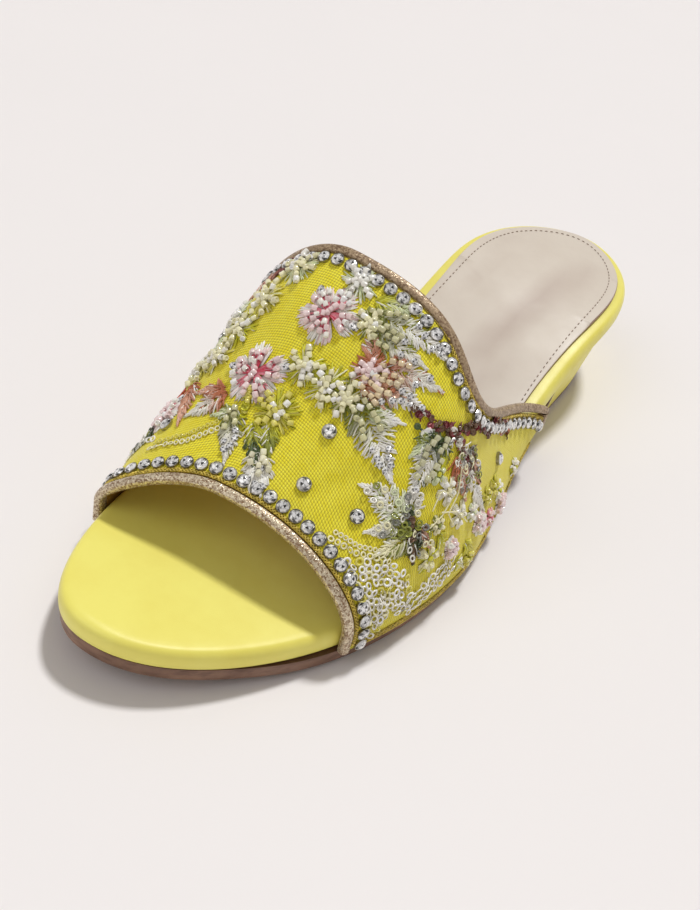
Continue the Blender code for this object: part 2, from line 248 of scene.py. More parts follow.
# Lines of overlapping sequins and short threads: places, width, colours
STEMS = (
    (((-124.4, 23.0), (-120.8, 32.5), (-116.3, 36.5), (-105.7, 41.1), (-97.0, 46.0)), 2.6,
     ("maroon", "brown")),
    (((-97.0, 45.0), (-88.0, 50.0), (-80.2, 56.6)), 5.0, ("maroon", "rust", "brown")),
    (((-117.2, 35.9), (-114.8, 45.7), (-112.6, 55.5)), 2.2, ("brown", "maroon", "silver")),
    (((-127.0, 29.5), (-122.0, 36.0), (-120.0, 40.0)), 4.6, ("green", "olive", "green", "white")),
    (((-137.0, 50.0), (-139.3, 65.0)), 4.4, ("green", "brown", "olive")),
    (((-127.8, 4.0), (-124.0, 18.0)), 3.4, ("peach", "silver", "rust")),
    (((-140.0, -28.5), (-147.0, -28.0)), 0.6, ("lime", "straw")),
    (((-110.0, -70.0), (-96.0, -72.0)), 2.4, ("maroon", "rust")),
    (((-134.0, -72.0), (-140.0, -84.0)), 2.6, ("green", "olive")),
)

# Chains of rings or of chain stitch: places, ring length, colour
CHAINS = (
    (((-155.7, 45.3), (-153.6, 55.5), (-147.1, 64.7)), 2.0, "cream"),
    (((-153.9, 44.0), (-151.9, 54.0), (-146.1, 62.0)), 1.6, "cream"),
    (((-160.0, -64.9), (-156.6, -49.5), (-151.0, -37.1)), 1.9, "cream"),
    (((-158.0, -63.0), (-155.0, -50.5), (-149.6, -38.4)), 1.5, "straw"),
    (((-143.0, 85.0), (-138.8, 83.4), (-133.7, 82.0), (-128.2, 80.6), (-125.0, 79.0)), 2.3, "white"),
    (((-143.0, 88.4), (-138.8, 86.8), (-133.7, 85.2), (-128.2, 83.8), (-123.0, 82.2)), 2.3, "white"),
    (((-142.0, 91.8), (-137.8, 90.2), (-132.7, 88.6), (-127.2, 87.0), (-121.0, 86.0)), 2.3, "white"),
    (((-160.0, -84.0), (-156.0, -76.0), (-156.5, -66.0)), 2.2, "white"),
    (((-118.0, -94.0), (-108.0, -93.0), (-98.0, -92.0)), 2.2, "white"),
)

# Loose curls of thin thread
CURLS = (
    ((-131.0, 55.0), (-126.8, 50.3), (-123.0, 55.1), (-128.5, 59.2), (-133.1, 60.5)),
    ((-118.0, 48.0), (-121.0, 56.0), (-126.0, 60.0), (-124.0, 66.0)),
    ((-128.0, 58.0), (-122.0, 62.0), (-117.0, 70.0)),
)

# Outline of the patch that ring sequins fill, and how many places are tried in it
RING_TRIES = 2600
RING_PATCH = (
    (-156.8, 55.0), (-150.5, 61.0), (-146.5, 66.0), (-143.2, 73.0), (-142.6, 80.0),
    (-142.6, 89.0), (-147.2, 90.0), (-149.0, 84.0), (-150.6, 83.5), (-152.2, 90.0),
    (-155.6, 93.0), (-157.0, 88.0), (-157.8, 72.0),
)

# Creases of the sock lining: X and Y of both ends, half width and depth in metres, a minus for a ridge.
# At a depth of FULL_CREASE the painted shade in them is full.
FULL_CREASE = 0.0004
LINING_CREASES = (
    (0.012, 0.024, 0.002, -0.056, 0.0052, 0.00042),
    (-0.004, 0.020, -0.010, -0.046, 0.0045, -0.00018),
    (-0.018, 0.018, -0.014, -0.030, 0.0030, 0.00018),
    (0.016, -0.036, 0.006, -0.074, 0.0030, 0.00020),
    (-0.010, -0.050, 0.004, -0.084, 0.0026, 0.00016),
)

# Folds of the cloth: Y and angle of both ends, half width and depth in mm, a minus for a ridge
UPPER_FOLDS = (
    (-158.0, 8.0, -140.0, 15.0, 2.4, 0.32),
    (-157.0, 14.0, -136.0, 23.0, 2.6, -0.22),
    (-157.0, 21.0, -138.0, 31.0, 2.6, 0.36),
    (-155.0, 30.0, -140.0, 38.0, 2.2, -0.20),
    (-146.0, -6.0, -132.0, -10.0, 3.0, 0.22),
    (-112.0, 44.0, -92.0, 62.0, 3.2, 0.35),
    (-104.0, 52.0, -84.0, 74.0, 3.0, -0.25),
    (-120.0, -56.0, -92.0, -74.0, 3.4, 0.30),
    (-150.0, -48.0, -132.0, -40.0, 3.0, 0.28),
)

# Painted reflections: shades that the facets of a stone are drawn from, standing in for light inside it; size
# in mm and tint of a clear drop and of a leaf's stone
PAINTED_FACET_REFLECTIONS = (1.0, 1.0, 0.03, 0.08, 0.55)
DROP = {"size": (3.1, 2.3, 1.7), "tint": (0.97, 0.96, 0.96)}
LEAF_STONE = {"size": (2.0, 2.0, 1.7), "tint": (0.95, 0.95, 0.95)}

# Thickness in mm of the gold thread, distance between its threads at the edges and at the hems, and heights
# of the two braids over each hem
BRAID_THREAD = 0.42
BRAID_PITCH = 0.0005
HEM_PITCH = 0.0006
HEM_BRAIDS = (0.0009, 0.0019)

# Rim of the sock lining: height from which it is looked for, distance beyond it, and length left out in front
RIM_ABOVE = 0.06
RIM_BEYOND = 0.16
RIM_FRONT = 0.004

# Stitches of the sock lining: thickness in mm, lift of their ends and rise of their middle
STITCH_THREAD = 0.32
STITCH_LIFT = 0.00005
STITCH_RISE = 0.0003

# Stones that stand alone: Y and angle
LONE_STONES = (
    (-139.1, 8.0), (-151.0, 15.8), (-147.9, 42.8), (-89.1, 63.8), (-152.0, -62.0),
    (-122.0, -54.0), (-70.0, -64.0),
)


# Places on the cloth

def read(items, field, kind=float, width=1):
    """One field of all items of a mesh as an array, in rows where it is wider than 1."""
    values = np.empty(len(items) * width, kind)
    items.foreach_get(field, values)
    return values.reshape(-1, width) if width > 1 else values


def surface(mesh):
    """Tree of a mesh's faces, for rays and nearest places."""
    return BVHTree.FromPolygons([v.co for v in mesh.vertices], [p.vertices[:] for p in mesh.polygons])


class Cloth:
    """Finds places on the outside of the dressed upper."""

    def __init__(self, piece):
        self.corners = read(piece.data.vertices, "co", width=3)
        self.tree = surface(piece.data)

    def at(self, y, angle):
        """Place and outward normal at a Y in metres and an angle, or None where there is no cloth."""
        turn = math.radians(angle)
        way = Vector((math.sin(turn), 0, math.cos(turn)))
        axis = Vector((0, y, FOOT_AXIS_Z))
        place, normal, _, _ = self.tree.ray_cast(axis + way * RAY_START, -way)
        if place is None or (place - axis).dot(way) < 0:
            return None
        return place, normal

    def near(self, point, normal):
        """Nearest place on the outside, and its normal."""
        place, found, _, _ = self.tree.find_nearest(point + normal * OUTSIDE_LIFT)
        return place, found

    def onto(self, point, normal):
        """Place on the outside that a point lies over, or the nearest one where there is none."""
        turn = math.degrees(math.atan2(point.x, point.z - FOOT_AXIS_Z))
        return self.at(point.y, turn) or self.near(point, normal)

    def edge(self, angle, inside, outside):
        """Last Y with cloth, going from a Y inside the cloth to one beyond its edge."""
        for _ in range(HALVINGS):
            middle = 0.5 * (inside + outside)
            if self.at(middle, angle):
                inside = middle
            else:
                outside = middle
        return inside

    def hem(self, y, side):
        """Height of the lower edge of the wall on one side."""
        near = (np.abs(self.corners[:, 1] - y) < 0.004) & (self.corners[:, 0] * side > 0)
        return float(self.corners[near, 2].min())


class Spot:
    """A small flat frame laid on the cloth, in which a motif is drawn in millimetres."""

    def __init__(self, cloth, y, angle, turn=0.0):
        self.cloth = cloth
        self.centre, self.normal = cloth.at(y * MM, angle)
        ahead = Vector((0, -1, 0)) - self.normal * Vector((0, -1, 0)).dot(self.normal)
        self.along = (Matrix.Rotation(math.radians(turn), 3, self.normal) @ ahead).normalized()
        self.across = self.normal.cross(self.along)

    def toward(self, way):
        """Direction along the cloth, from a turn in radians."""
        return self.along * math.cos(way) + self.across * math.sin(way)

    def point(self, reach, way, lift):
        """Place at a distance and a direction in radians from the centre, lifted off the cloth."""
        flat = self.centre + self.toward(way) * reach * MM
        place, normal = self.cloth.near(flat, self.normal)
        return place + normal * lift * MM, normal


def smooth_line(points, pitch):
    """Points at an equal distance along a line of points."""
    lengths = np.cumsum([0] + [(b - a).length for a, b in zip(points, points[1:])])
    wanted = np.linspace(0, lengths[-1], max(1, round(lengths[-1] / pitch)) + 1)
    xyz = np.array([p[:] for p in points])
    return [Vector([np.interp(w, lengths, xyz[:, k]) for k in range(3)]) for w in wanted]


def cloth_line(cloth, places, pitch):
    """Frames along a smooth line over the cloth: place, normal, way along it and way across it."""
    places = np.array(places, float)
    steps = np.linspace(0, len(places) - 1, 12 * len(places))
    knots = np.arange(len(places))
    ys = np.interp(steps, knots, places[:, 0])
    angles = np.interp(steps, knots, places[:, 1])
    blur = np.array([1, 2, 3, 2, 1]) / 9
    for values in (ys, angles):
        values[2:-2] = np.convolve(values, blur, "valid")
    found = [cloth.at(y * MM, angle) for y, angle in zip(ys, angles)]
    return line_frames(cloth, smooth_line([f[0] for f in found if f], pitch), found[0][1])


def line_frames(cloth, line, normal):
    """Place, normal, way along and way across at each point of a line near the cloth."""
    frames = []
    for i, point in enumerate(line):
        place, normal = cloth.onto(point, normal)
        ahead = line[min(i + 1, len(line) - 1)] - line[max(i - 1, 0)]
        ahead = (ahead - normal * ahead.dot(normal)).normalized()
        frames.append((place, normal, ahead, normal.cross(ahead)))
    return frames


def edge_line(cloth, front, distance, pitch):
    """Frames along a line that keeps a distance from the front edge or from the topline."""
    reach, inside, outside, inward = FRONT_EDGE if front else REAR_EDGE
    rims, normals, toward = [], [], []
    for angle in np.linspace(-reach, reach, 121):
        y = cloth.edge(angle, inside, outside)
        rim, inner = cloth.at(y, angle), cloth.at(y + inward * 0.004, angle)
        if rim and inner:
            rims.append(rim[0])
            normals.append(inner[1])
            toward.append(inner[0] - rim[0])
    moved = []
    for i, rim in enumerate(rims):
        along = rims[min(i + 2, len(rims) - 1)] - rims[max(i - 2, 0)]
        across = normals[i].cross(along).normalized()
        moved.append(rim + across * math.copysign(distance, across.dot(toward[i])))
    return line_frames(cloth, smooth_line(moved, pitch), normals[0])


# Meshes made of many copies

def joined_mesh(name, template, placed, tints, facet_reflections=None):
    """One mesh of many copies, from the placed vertices of each copy and the tint of each."""
    corners = read(template.loops, "vertex_index", int)
    totals = read(template.polygons, "loop_total", int)
    smooth = read(template.polygons, "use_smooth", bool)
    count, size = placed.shape[:2]
    mesh = bpy.data.meshes.new(name)
    mesh.vertices.add(count * size)
    mesh.vertices.foreach_set("co", placed.astype(np.float32).ravel())
    mesh.loops.add(count * len(corners))
    mesh.loops.foreach_set("vertex_index", (corners[None] + size * np.arange(count)[:, None]).ravel())
    mesh.polygons.add(count * len(totals))
    sizes = np.tile(totals, count)
    mesh.polygons.foreach_set("loop_start", np.concatenate([[0], np.cumsum(sizes)[:-1]]))
    mesh.polygons.foreach_set("use_smooth", np.tile(smooth, count))
    mesh.update(calc_edges=True)
    colours = np.ones((count, len(corners), 4), np.float32)
    colours[:, :, :3] = np.asarray(tints, np.float32)[:, None, :]
    # Each facet of a stone is multiplied by its painted reflection.
    if facet_reflections is not None:
        colours[:, :, :3] *= np.repeat(facet_reflections, totals)[None, :, None]
    mesh.color_attributes.new("tint", "FLOAT_COLOR", "CORNER").data.foreach_set("color", colours.ravel())
    mesh.validate()
    return mesh


def add_object(name, data):
    """New object in the scene."""
    thing = bpy.data.objects.new(name, data)
    bpy.context.scene.collection.objects.link(thing)
    return thing


def add_piece(name, mesh, material):
    """Object of a finished mesh, riding on the slipper."""
    piece = add_object(name, mesh)
    set_material(piece, material)
    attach(piece, "root")


class Batch:
    """Repeats of one kind, which become one piece."""

    def __init__(self, kind, seed):
        self.kind = kind
        self.places = []
        self.tints = []
        self.random = random.Random(seed)

    def keep_tint(self, tint, spread):
        """Keep the tint of one repeat, varied a little in brightness."""
        factor = 1 + self.random.uniform(-spread, spread)
        self.tints.append([min(1.0, c * factor) for c in tint])

    def piece(self, name, slot="upper"):
        """Join the repeats into one piece."""
        shape_name, material_name, mottle_scale, mottle, constants = KINDS[self.kind]
        template = shape(shape_name)
        placed = self.placed(read(template.vertices, "co", width=3))
        facet_reflections = painted_facet_reflections(template) if shape_name == "stone" else None
        material = tinted_material(material_name, mottle_scale, mottle, constants)
        add_piece(name, joined_mesh(name, template, placed, self.tints, facet_reflections), material)


class Copies(Batch):
    """Stiff copies, such as beads and stones."""

    def put(self, place, up, ahead, size, tint, spread=0.06, tilt=0.0):
        """One copy with its Z up, its X ahead, its size in millimetres and its tint varied a little."""
        up = Vector(up).normalized()
        if tilt:
            lean = Vector([self.random.gauss(0, tilt) for _ in range(3)])
            up = (up + lean).normalized()
        side = up.cross(ahead).normalized()
        ahead = side.cross(up)
        scale = (size, size, size) if isinstance(size, (int, float)) else size
        basis = np.array([list(ahead * scale[0]), list(side * scale[1]), list(up * scale[2])]).T * MM
        self.places.append(np.c_[basis, np.array(place)])
        self.keep_tint(tint, spread)

    def placed(self, co):
        """Vertices of every copy."""
        frames = np.array(self.places)
        return np.einsum("kij,nj->kni", frames[:, :, :3], co) + frames[:, None, :, 3]


class Strands(Batch):
    """Short bent threads, each from its root over a middle point to its tip."""

    def put(self, root, middle, tip, normal, width, tint, spread=0.1):
        """One thread, its width in millimetres and its tint varied a little."""
        self.places.append((root[:], middle[:], tip[:], normal[:], (width * MM / 2,) * 3))
        self.keep_tint(tint, spread)

    def placed(self, co):
        """Vertices of every thread, bent from the straight template."""
        root, middle, tip, normal, width = np.array(self.places).transpose(1, 0, 2)[:, :, None]
        t = co[None, :, 2, None]
        centre = (1 - t) ** 2 * root + 2 * t * (1 - t) * middle + t * t * tip
        tangent = 2 * (1 - t) * (middle - root) + 2 * t * (tip - middle)
        tangent /= np.maximum(np.linalg.norm(tangent, axis=2, keepdims=True), 1e-9)
        side = np.cross(tangent, normal)
        side /= np.maximum(np.linalg.norm(side, axis=2, keepdims=True), 1e-9)
        up = np.cross(side, tangent)
        return centre + width * (side * co[None, :, 0, None] + up * co[None, :, 1, None])


# Small shapes, each modelled once

def edit_new(add, **settings):
    """Add a primitive with nothing else selected, and open it in edit mode with nothing selected."""
    bpy.ops.object.select_all(action="DESELECT")
    add(location=(0, 0, 0), **settings)
    bpy.ops.object.mode_set(mode="EDIT")
    bpy.ops.mesh.select_mode(type="FACE")
    bpy.ops.mesh.select_all(action="DESELECT")
    return bpy.context.object


def select_faces(piece, test):
    """Select, in edit mode, the faces whose centre and normal pass the test."""
    mesh = bmesh.from_edit_mesh(piece.data)
    for face in mesh.faces:
        face.select_set(test(face.calc_center_median(), face.normal))
    mesh.select_flush_mode()
    bmesh.update_edit_mesh(piece.data)


def faces_up(centre, normal):
    """Test for the faces on top."""
    return normal.z > 0.9


def extrude(rise, scale=1.0):
    """Extrude the selected faces along Z and scale their end."""
    bpy.ops.mesh.extrude_region_move(TRANSFORM_OT_translate={"value": (0, 0, rise)})
    bpy.ops.transform.resize(value=(scale, scale, 1))


def take_mesh(piece, name, smooth):
    """Leave edit mode, keep the mesh under its name and remove the object."""
    bpy.ops.object.mode_set(mode="OBJECT")
    if smooth:
        bpy.ops.object.shade_smooth()
    mesh = piece.data
    mesh.name = name
    mesh.materials.clear()
    bpy.data.objects.remove(piece, do_unlink=True)
    return mesh


def model_stone():
    """Brilliant-cut stone of diameter 1 with a girdle, two tiers of facets and a table."""
    stone = edit_new(bpy.ops.mesh.primitive_cylinder_add, vertices=9, radius=0.5, depth=0.06)
    for rise, scale in ((0.13, 0.78), (0.06, 0.66)):
        select_faces(stone, faces_up)
        extrude(rise, scale)
        bpy.ops.transform.rotate(value=math.radians(20), orient_axis="Z", center_override=(0, 0, 0))
    select_faces(stone, faces_up)
    bpy.ops.mesh.poke()
    return take_mesh(stone, "stone_shape", False)


def model_cup():
    """Round silver cup of outer diameter 1 with a thin raised rim."""
    cup = edit_new(bpy.ops.mesh.primitive_cylinder_add, vertices=14, radius=0.5, depth=0.26)
    select_faces(cup, faces_up)
    bpy.ops.mesh.inset(thickness=0.05)
    extrude(-0.2)
    return take_mesh(cup, "cup_shape", False)


def model_bead():
    """Short cut bead of diameter and length 1 along X, with softened rims and a dimple at each hole."""
    bead = edit_new(bpy.ops.mesh.primitive_cylinder_add, vertices=8, radius=0.5, depth=1,
                    rotation=(0, PI / 2, 0))
    bpy.ops.object.mode_set(mode="OBJECT")
    bpy.ops.object.transform_apply(location=False, rotation=True, scale=False)
    bpy.ops.object.mode_set(mode="EDIT")
    select_faces(bead, lambda centre, normal: abs(normal.x) > 0.9)
    bpy.ops.mesh.bevel(offset=0.14, segments=2, affect="EDGES")
    select_faces(bead, lambda centre, normal: abs(normal.x) > 0.99)
    bpy.ops.mesh.inset(thickness=0.14)
    bpy.ops.transform.resize(value=(0.7, 1, 1))
    return take_mesh(bead, "bead_shape", True)


def model_ring():
    """Flat ring sequin of outer diameter 1."""
    ring = edit_new(bpy.ops.mesh.primitive_torus_add, major_segments=12, minor_segments=4,
                    major_radius=0.36, minor_radius=0.14)
    bpy.ops.mesh.select_all(action="SELECT")
    bpy.ops.transform.resize(value=(1, 1, 0.6))
    return take_mesh(ring, "ring_shape", True)


def model_sequin():
    """Dished round sequin of diameter 1 with a hole in its middle."""
    sequin = edit_new(bpy.ops.mesh.primitive_cylinder_add, vertices=10, radius=0.5, depth=0.08)
    select_faces(sequin, faces_up)
    for inset, rise in ((0.22, -0.07), (0.12, 0.05)):
        bpy.ops.mesh.inset(thickness=inset)
        bpy.ops.transform.translate(value=(0, 0, rise))
    return take_mesh(sequin, "sequin_shape", False)


def model_thread():
    """Straight thread from 0 to 1 along Z with a radius of 1 and drawn-in ends."""
    thread = edit_new(bpy.ops.mesh.primitive_circle_add, vertices=4, radius=0.5, fill_type="NGON")
    bpy.ops.mesh.select_all(action="SELECT")
    for rise, scale in ((0.12, 2.0), (0.38, 1.0), (0.38, 1.0), (0.12, 0.4)):
        extrude(rise, scale)
    bpy.ops.mesh.select_all(action="SELECT")
    bpy.ops.mesh.normals_make_consistent(inside=False)
    return take_mesh(thread, "thread_shape", True)


SHAPES = {"stone": model_stone, "cup": model_cup, "bead": model_bead, "ring": model_ring,
          "sequin": model_sequin, "thread": model_thread}

# Each kind of repeat: small shape, material, scale and strength of the mottle, constants of the shader
KINDS = {
    "thread": ("thread", "embroidery_thread", 2600.0, 0.22,
               {"roughness": 0.45, "sheen_weight": 0.2, "sheen_roughness": 0.3}),
    "gold": ("thread", "gold_thread", 2000.0, 0.25, {"roughness": 0.36, "metallic": 0.15}),
    "bead": ("bead", "glass_beads", 900.0, 0.3,
             {"roughness": 0.1, "coat_weight": 1.0, "coat_roughness": 0.05}),
    "ring": ("ring", "ring_sequins", 1500.0, 0.15,
             {"roughness": 0.22, "coat_weight": 0.6, "coat_roughness": 0.06}),
    "sequin": ("sequin", "sequins", 1500.0, 0.3,
               {"roughness": 0.2, "metallic": 0.35, "coat_weight": 0.5, "coat_roughness": 0.06}),
    "stone": ("stone", "clear_stones", 300.0, 0.0,
              {"roughness": 0.07, "metallic": 0.3, "coat_weight": 1.0, "coat_roughness": 0.02}),
    "cup": ("cup", "silver_cups", 1200.0, 0.4, {"roughness": 0.28, "metallic": 1.0}),
}


def shape(name):
    """The small shape of that name, modelled at its first use."""
    return bpy.data.meshes.get(name + "_shape") or SHAPES[name]()


# Materials

class Nodes:
    """Short way to lay out a node tree."""

    def __init__(self, tree):
        self.tree = tree
        self.column = 0

    def add(self, kind, inputs=(), **settings):
        """A new node with its inputs and settings, placed beside the last one."""
        node = self.tree.nodes.new(kind)
        self.column += 1
        node.location = (180 * self.column, -40 * (self.column % 7))
        for name, value in settings.items():
            setattr(node, name, value)
        for name, value in dict(inputs).items():
            self.set(node.inputs[name], value)
        return node

    def set(self, socket, value):
        """Link an output to a socket, or set a constant on it."""
        if isinstance(value, bpy.types.NodeSocket):
            self.tree.links.new(value, socket)
        else:
            socket.default_value = (*value, 1) if socket.type == "RGBA" else value

    def shade(self, **inputs):
        """Link or set inputs of the material's shader."""
        shader = self.tree.nodes["Principled BSDF"]
        for label, value in inputs.items():
            self.set(shader.inputs[label.replace("_", " ").title()], value)

    def math(self, operation, a, b=0.0, c=0.0):
        node = self.add("ShaderNodeMath", operation=operation)
        for socket, value in zip(node.inputs, (a, b, c)):
            self.set(socket, value)
        return node.outputs[0]

    def mix(self, factor, a, b, blend="MIX"):
        """Mix of two colours."""
        node = self.add("ShaderNodeMix", data_type="RGBA", blend_type=blend)
        for index, value in ((0, factor), (6, a), (7, b)):
            self.set(node.inputs[index], value)
        return node.outputs[2]

    def noise(self, vector, scale, detail=2.0, roughness=0.5):
        return self.add("ShaderNodeTexNoise", {"Vector": vector, "Scale": scale, "Detail": detail,
                                               "Roughness": roughness}).outputs["Fac"]

    def spread(self, value, low, high, to_low=0.0, to_high=1.0):
        return self.add("ShaderNodeMapRange", {"Value": value, "From Min": low, "From Max": high,
                                               "To Min": to_low, "To Max": to_high}).outputs[0]

    def bump(self, height, strength, distance, **normal):
        return self.add("ShaderNodeBump", {"Height": height, "Strength": strength, "Distance": distance,
                                           **normal}).outputs[0]

    def place(self, output="Object"):
        return self.add("ShaderNodeTexCoord").outputs[output]

    def parts(self, vector):
        return self.add("ShaderNodeSeparateXYZ", {"Vector": vector}).outputs

    def stretched(self, vector, scale):
        return self.add("ShaderNodeMapping", {"Vector": vector, "Scale": scale}).outputs[0]

    def mark(self, attribute, output):
        node = self.add("ShaderNodeAttribute", attribute_name=attribute, attribute_type="GEOMETRY")
        return node.outputs[output]

    def effect(self, name, vector, size):
        """Outputs of a shared effect placed in a material with its own size."""
        node = self.add("ShaderNodeGroup", node_tree=effect_group(name))
        for socket, value in zip(node.inputs, (vector, size)):
            self.set(socket, value)
        return node.outputs


def effect_group(name):
    """Node group of a shared effect, with a vector and a size going in, laid out at its first use."""
    if name in bpy.data.node_groups:
        return bpy.data.node_groups[name]
    size_label, size, outputs, lay_out = EFFECTS[name]
    tree = bpy.data.node_groups.new(name, "ShaderNodeTree")
    tree.interface.new_socket("Vector", in_out="INPUT", socket_type="NodeSocketVector")
    tree.interface.new_socket(size_label, in_out="INPUT", socket_type="NodeSocketFloat").default_value = size
    for label in outputs:
        tree.interface.new_socket(label, in_out="OUTPUT", socket_type="NodeSocketFloat")
    n = Nodes(tree)
    source = n.add("NodeGroupInput")
    sink = n.add("NodeGroupOutput")
    for label, value in zip(outputs, lay_out(n, source.outputs["Vector"], source.outputs[size_label])):
        n.set(sink.inputs[label], value)
    return tree


def lay_out_weave(n, vector, threads_per_unit):
    """Plain weave: height of the threads, a mask of the gaps between them and one of the warp on top."""
    warp, weft = [n.math("MULTIPLY", part, threads_per_unit) for part in n.parts(vector)[:2]]
    warp_hill, weft_hill = [
        n.math("ABSOLUTE", n.math("SINE", n.math("MULTIPLY", way, PI))) for way in (warp, weft)]
    cell = n.math("ADD", n.math("FLOOR", warp), n.math("FLOOR", weft))
    over = n.math("ABSOLUTE", n.math("MODULO", cell, 2.0))
    warp_top, weft_top = [
        n.math("MULTIPLY", n.math("POWER", hill, 0.6), n.math("MULTIPLY_ADD", crossing, 0.5, 0.5))
        for hill, crossing in ((warp_hill, weft_hill), (weft_hill, warp_hill))]
    first = n.math("MULTIPLY", warp_top, over)
    second = n.math("MULTIPLY", weft_top, n.math("SUBTRACT", 1.0, over))
    height = n.math("ADD", first, second)
    return height, n.spread(height, 0.68, 0.2), over


def lay_out_grain(n, vector, scale):
    """Fine leather grain: height, and a slow mottle of the colour."""
    cells = n.add("ShaderNodeTexVoronoi", {"Vector": vector, "Scale": scale}, feature="DISTANCE_TO_EDGE")
    creases = n.spread(cells.outputs["Distance"], 0.0, 0.12)
    return n.math("MULTIPLY_ADD", n.noise(vector, 1400.0, 3.0), 0.5, creases), n.noise(vector, 55.0, 4.0, 0.6)


def lay_out_flakes(n, vector, scale):
    """Small metallic flakes, each with its own shade and tilt."""
    cells = n.add("ShaderNodeTexVoronoi", {"Vector": vector, "Scale": scale})
    parts = n.parts(cells.outputs["Color"])
    return parts[0], n.math("MULTIPLY", cells.outputs["Distance"], parts[1])


# Shared effects: label and default of the size, labels of the outputs, and what lays them out
EFFECTS = {
    "plain_weave": ("Threads per Unit", 1000.0, ("Height", "Gap", "Thread"), lay_out_weave),
    "leather_grain": ("Scale", 900.0, ("Height", "Mottle"), lay_out_grain),
    "glitter_flakes": ("Scale", 2600.0, ("Shade", "Height"), lay_out_flakes),
}


def start_material(name, **constants):
    """Material with its constants set on the shader, and its nodes."""
    material = bpy.data.materials.new(name)
    material.use_nodes = True
    nodes = Nodes(material.node_tree)
    nodes.shade(**constants)
    return material, nodes


def cloth_material(colours, sizes):
    """Bright woven cloth: threads with a slight sheen, painted shade in the gaps between them, a little
    uneven in colour.
    """
    material, n = start_material("woven_cloth", roughness=0.62, sheen_weight=0.25, sheen_roughness=0.4)
    uv = n.add("ShaderNodeUVMap", uv_map="cloth").outputs[0]
    weave = n.effect("plain_weave", uv, 1 / sizes.weave_pitch)
    base = n.mix(n.spread(n.noise(uv, 420.0, 3.0), 0.3, 0.7), colours.cloth, colours.cloth_light)
    base = n.mix(n.math("MULTIPLY", weave["Thread"], 0.22), base, colours.cloth_light)
    # Painted shade: the gaps between the threads are darkened toward the gap shade colour.
    base = n.mix(n.math("MULTIPLY", weave["Gap"], 0.85), base, colours.cloth_gap_shade_and_mottle)
    # The same colour also darkens the cloth a little at random, as an unevenness of its tone.
    cloudy = n.spread(n.noise(n.place(), 38.0, 3.0), 0.35, 0.7, 0.0, 0.22)
    n.shade(base_color=n.mix(cloudy, base, colours.cloth_gap_shade_and_mottle), normal=n.bump(weave["Height"], 0.7, 0.00022))
    return material


def lining_and_painted_shade_material(colours):
    """Inside of the upper, an olive-yellow lining whose colours are darkened as painted shade for the hollow
    under the upper.
    """
    material, n = start_material("upper_lining", roughness=0.75)
    uv = n.add("ShaderNodeUVMap", uv_map="cloth").outputs[0]
    weave = n.effect("plain_weave", uv, 2600.0)
    base = n.mix(n.spread(n.noise(uv, 26.0), 0.3, 0.7), colours.inside, colours.inside_dark)
    n.shade(base_color=base, normal=n.bump(weave["Height"], 0.3, 0.00008))
    return material


def leather_material(name, light, deep, roughness, grain_scale, grain_depth):
    """Smooth leather with a fine grain, a slow mottle and soft wavy pulls: its nodes, place and colour."""
    material, n = start_material(name, roughness=roughness, coat_weight=0.12, coat_roughness=0.35)
    place = n.place()
    grain = n.effect("leather_grain", place, grain_scale)
    base = n.mix(n.spread(grain["Mottle"], 0.35, 0.7), light, deep)
    waves = n.bump(n.noise(place, 60.0), 0.25, 0.0008)
    n.shade(base_color=base,
            roughness=n.spread(grain["Mottle"], 0.3, 0.7, roughness - 0.06, roughness + 0.08),
            normal=n.bump(grain["Height"], 0.35, grain_depth, Normal=waves))
    return material, n, place, base


def footbed_material(colours):
    """Smooth yellow leather."""
    return leather_material("yellow_leather", colours.leather, colours.leather_deep, 0.42, 1500.0, 0.00003)[0]


def heel_material(colours):
    """The same leather, with a dark band along its top, partly the sole's edge and partly painted shade under
    the footbed, and the dark top piece that it stands on.
    """
    sizes = bpy.context.scene.slipper_sizes
    material, n, place, base = leather_material(
        "heel_leather", colours.heel, colours.leather_deep, 0.45, 1500.0, 0.00003)
    _, y, height = n.parts(place)
    foot = n.spread(height, sizes.top_piece + 0.0001, sizes.top_piece - 0.0001)
    speckle = n.spread(n.noise(place, 900.0, 3.0), 0.4, 0.6)
    dark = n.mix(speckle, colours.outsole_dark_and_shade, colours.outsole)
    top, *terms = heel_top_line()
    for term in terms:
        top = n.math("MULTIPLY_ADD", top, y, term)
    # Dark band along the heel's top: partly the sole's own edge, partly painted shade under the footbed.
    depth = n.spread(y, -0.042, 0.02, 1.8 * sizes.sole_edge_and_shade_height, sizes.sole_edge_and_shade_height)
    sole_edge_and_shade = n.spread(n.math("SUBTRACT", n.math("SUBTRACT", top, height), depth), 0.0001, -0.0001)
    n.shade(base_color=n.mix(sole_edge_and_shade, n.mix(foot, base, dark), colours.outsole_dark_and_shade))
    return material


def heel_top_line():
    """Height of the heel's upper rim as a quartic in Y, from the highest term down."""
    rim = {}
    for vertex in frame["nodes"]["heel"].data.vertices:
        station = round(vertex.co.y / 0.002)
        if vertex.co.z > 0.014 and (station not in rim or vertex.co.z > rim[station].z):
            rim[station] = vertex.co
    return [float(v) for v in np.polyfit([c.y for c in rim.values()], [c.z for c in rim.values()], 4)]


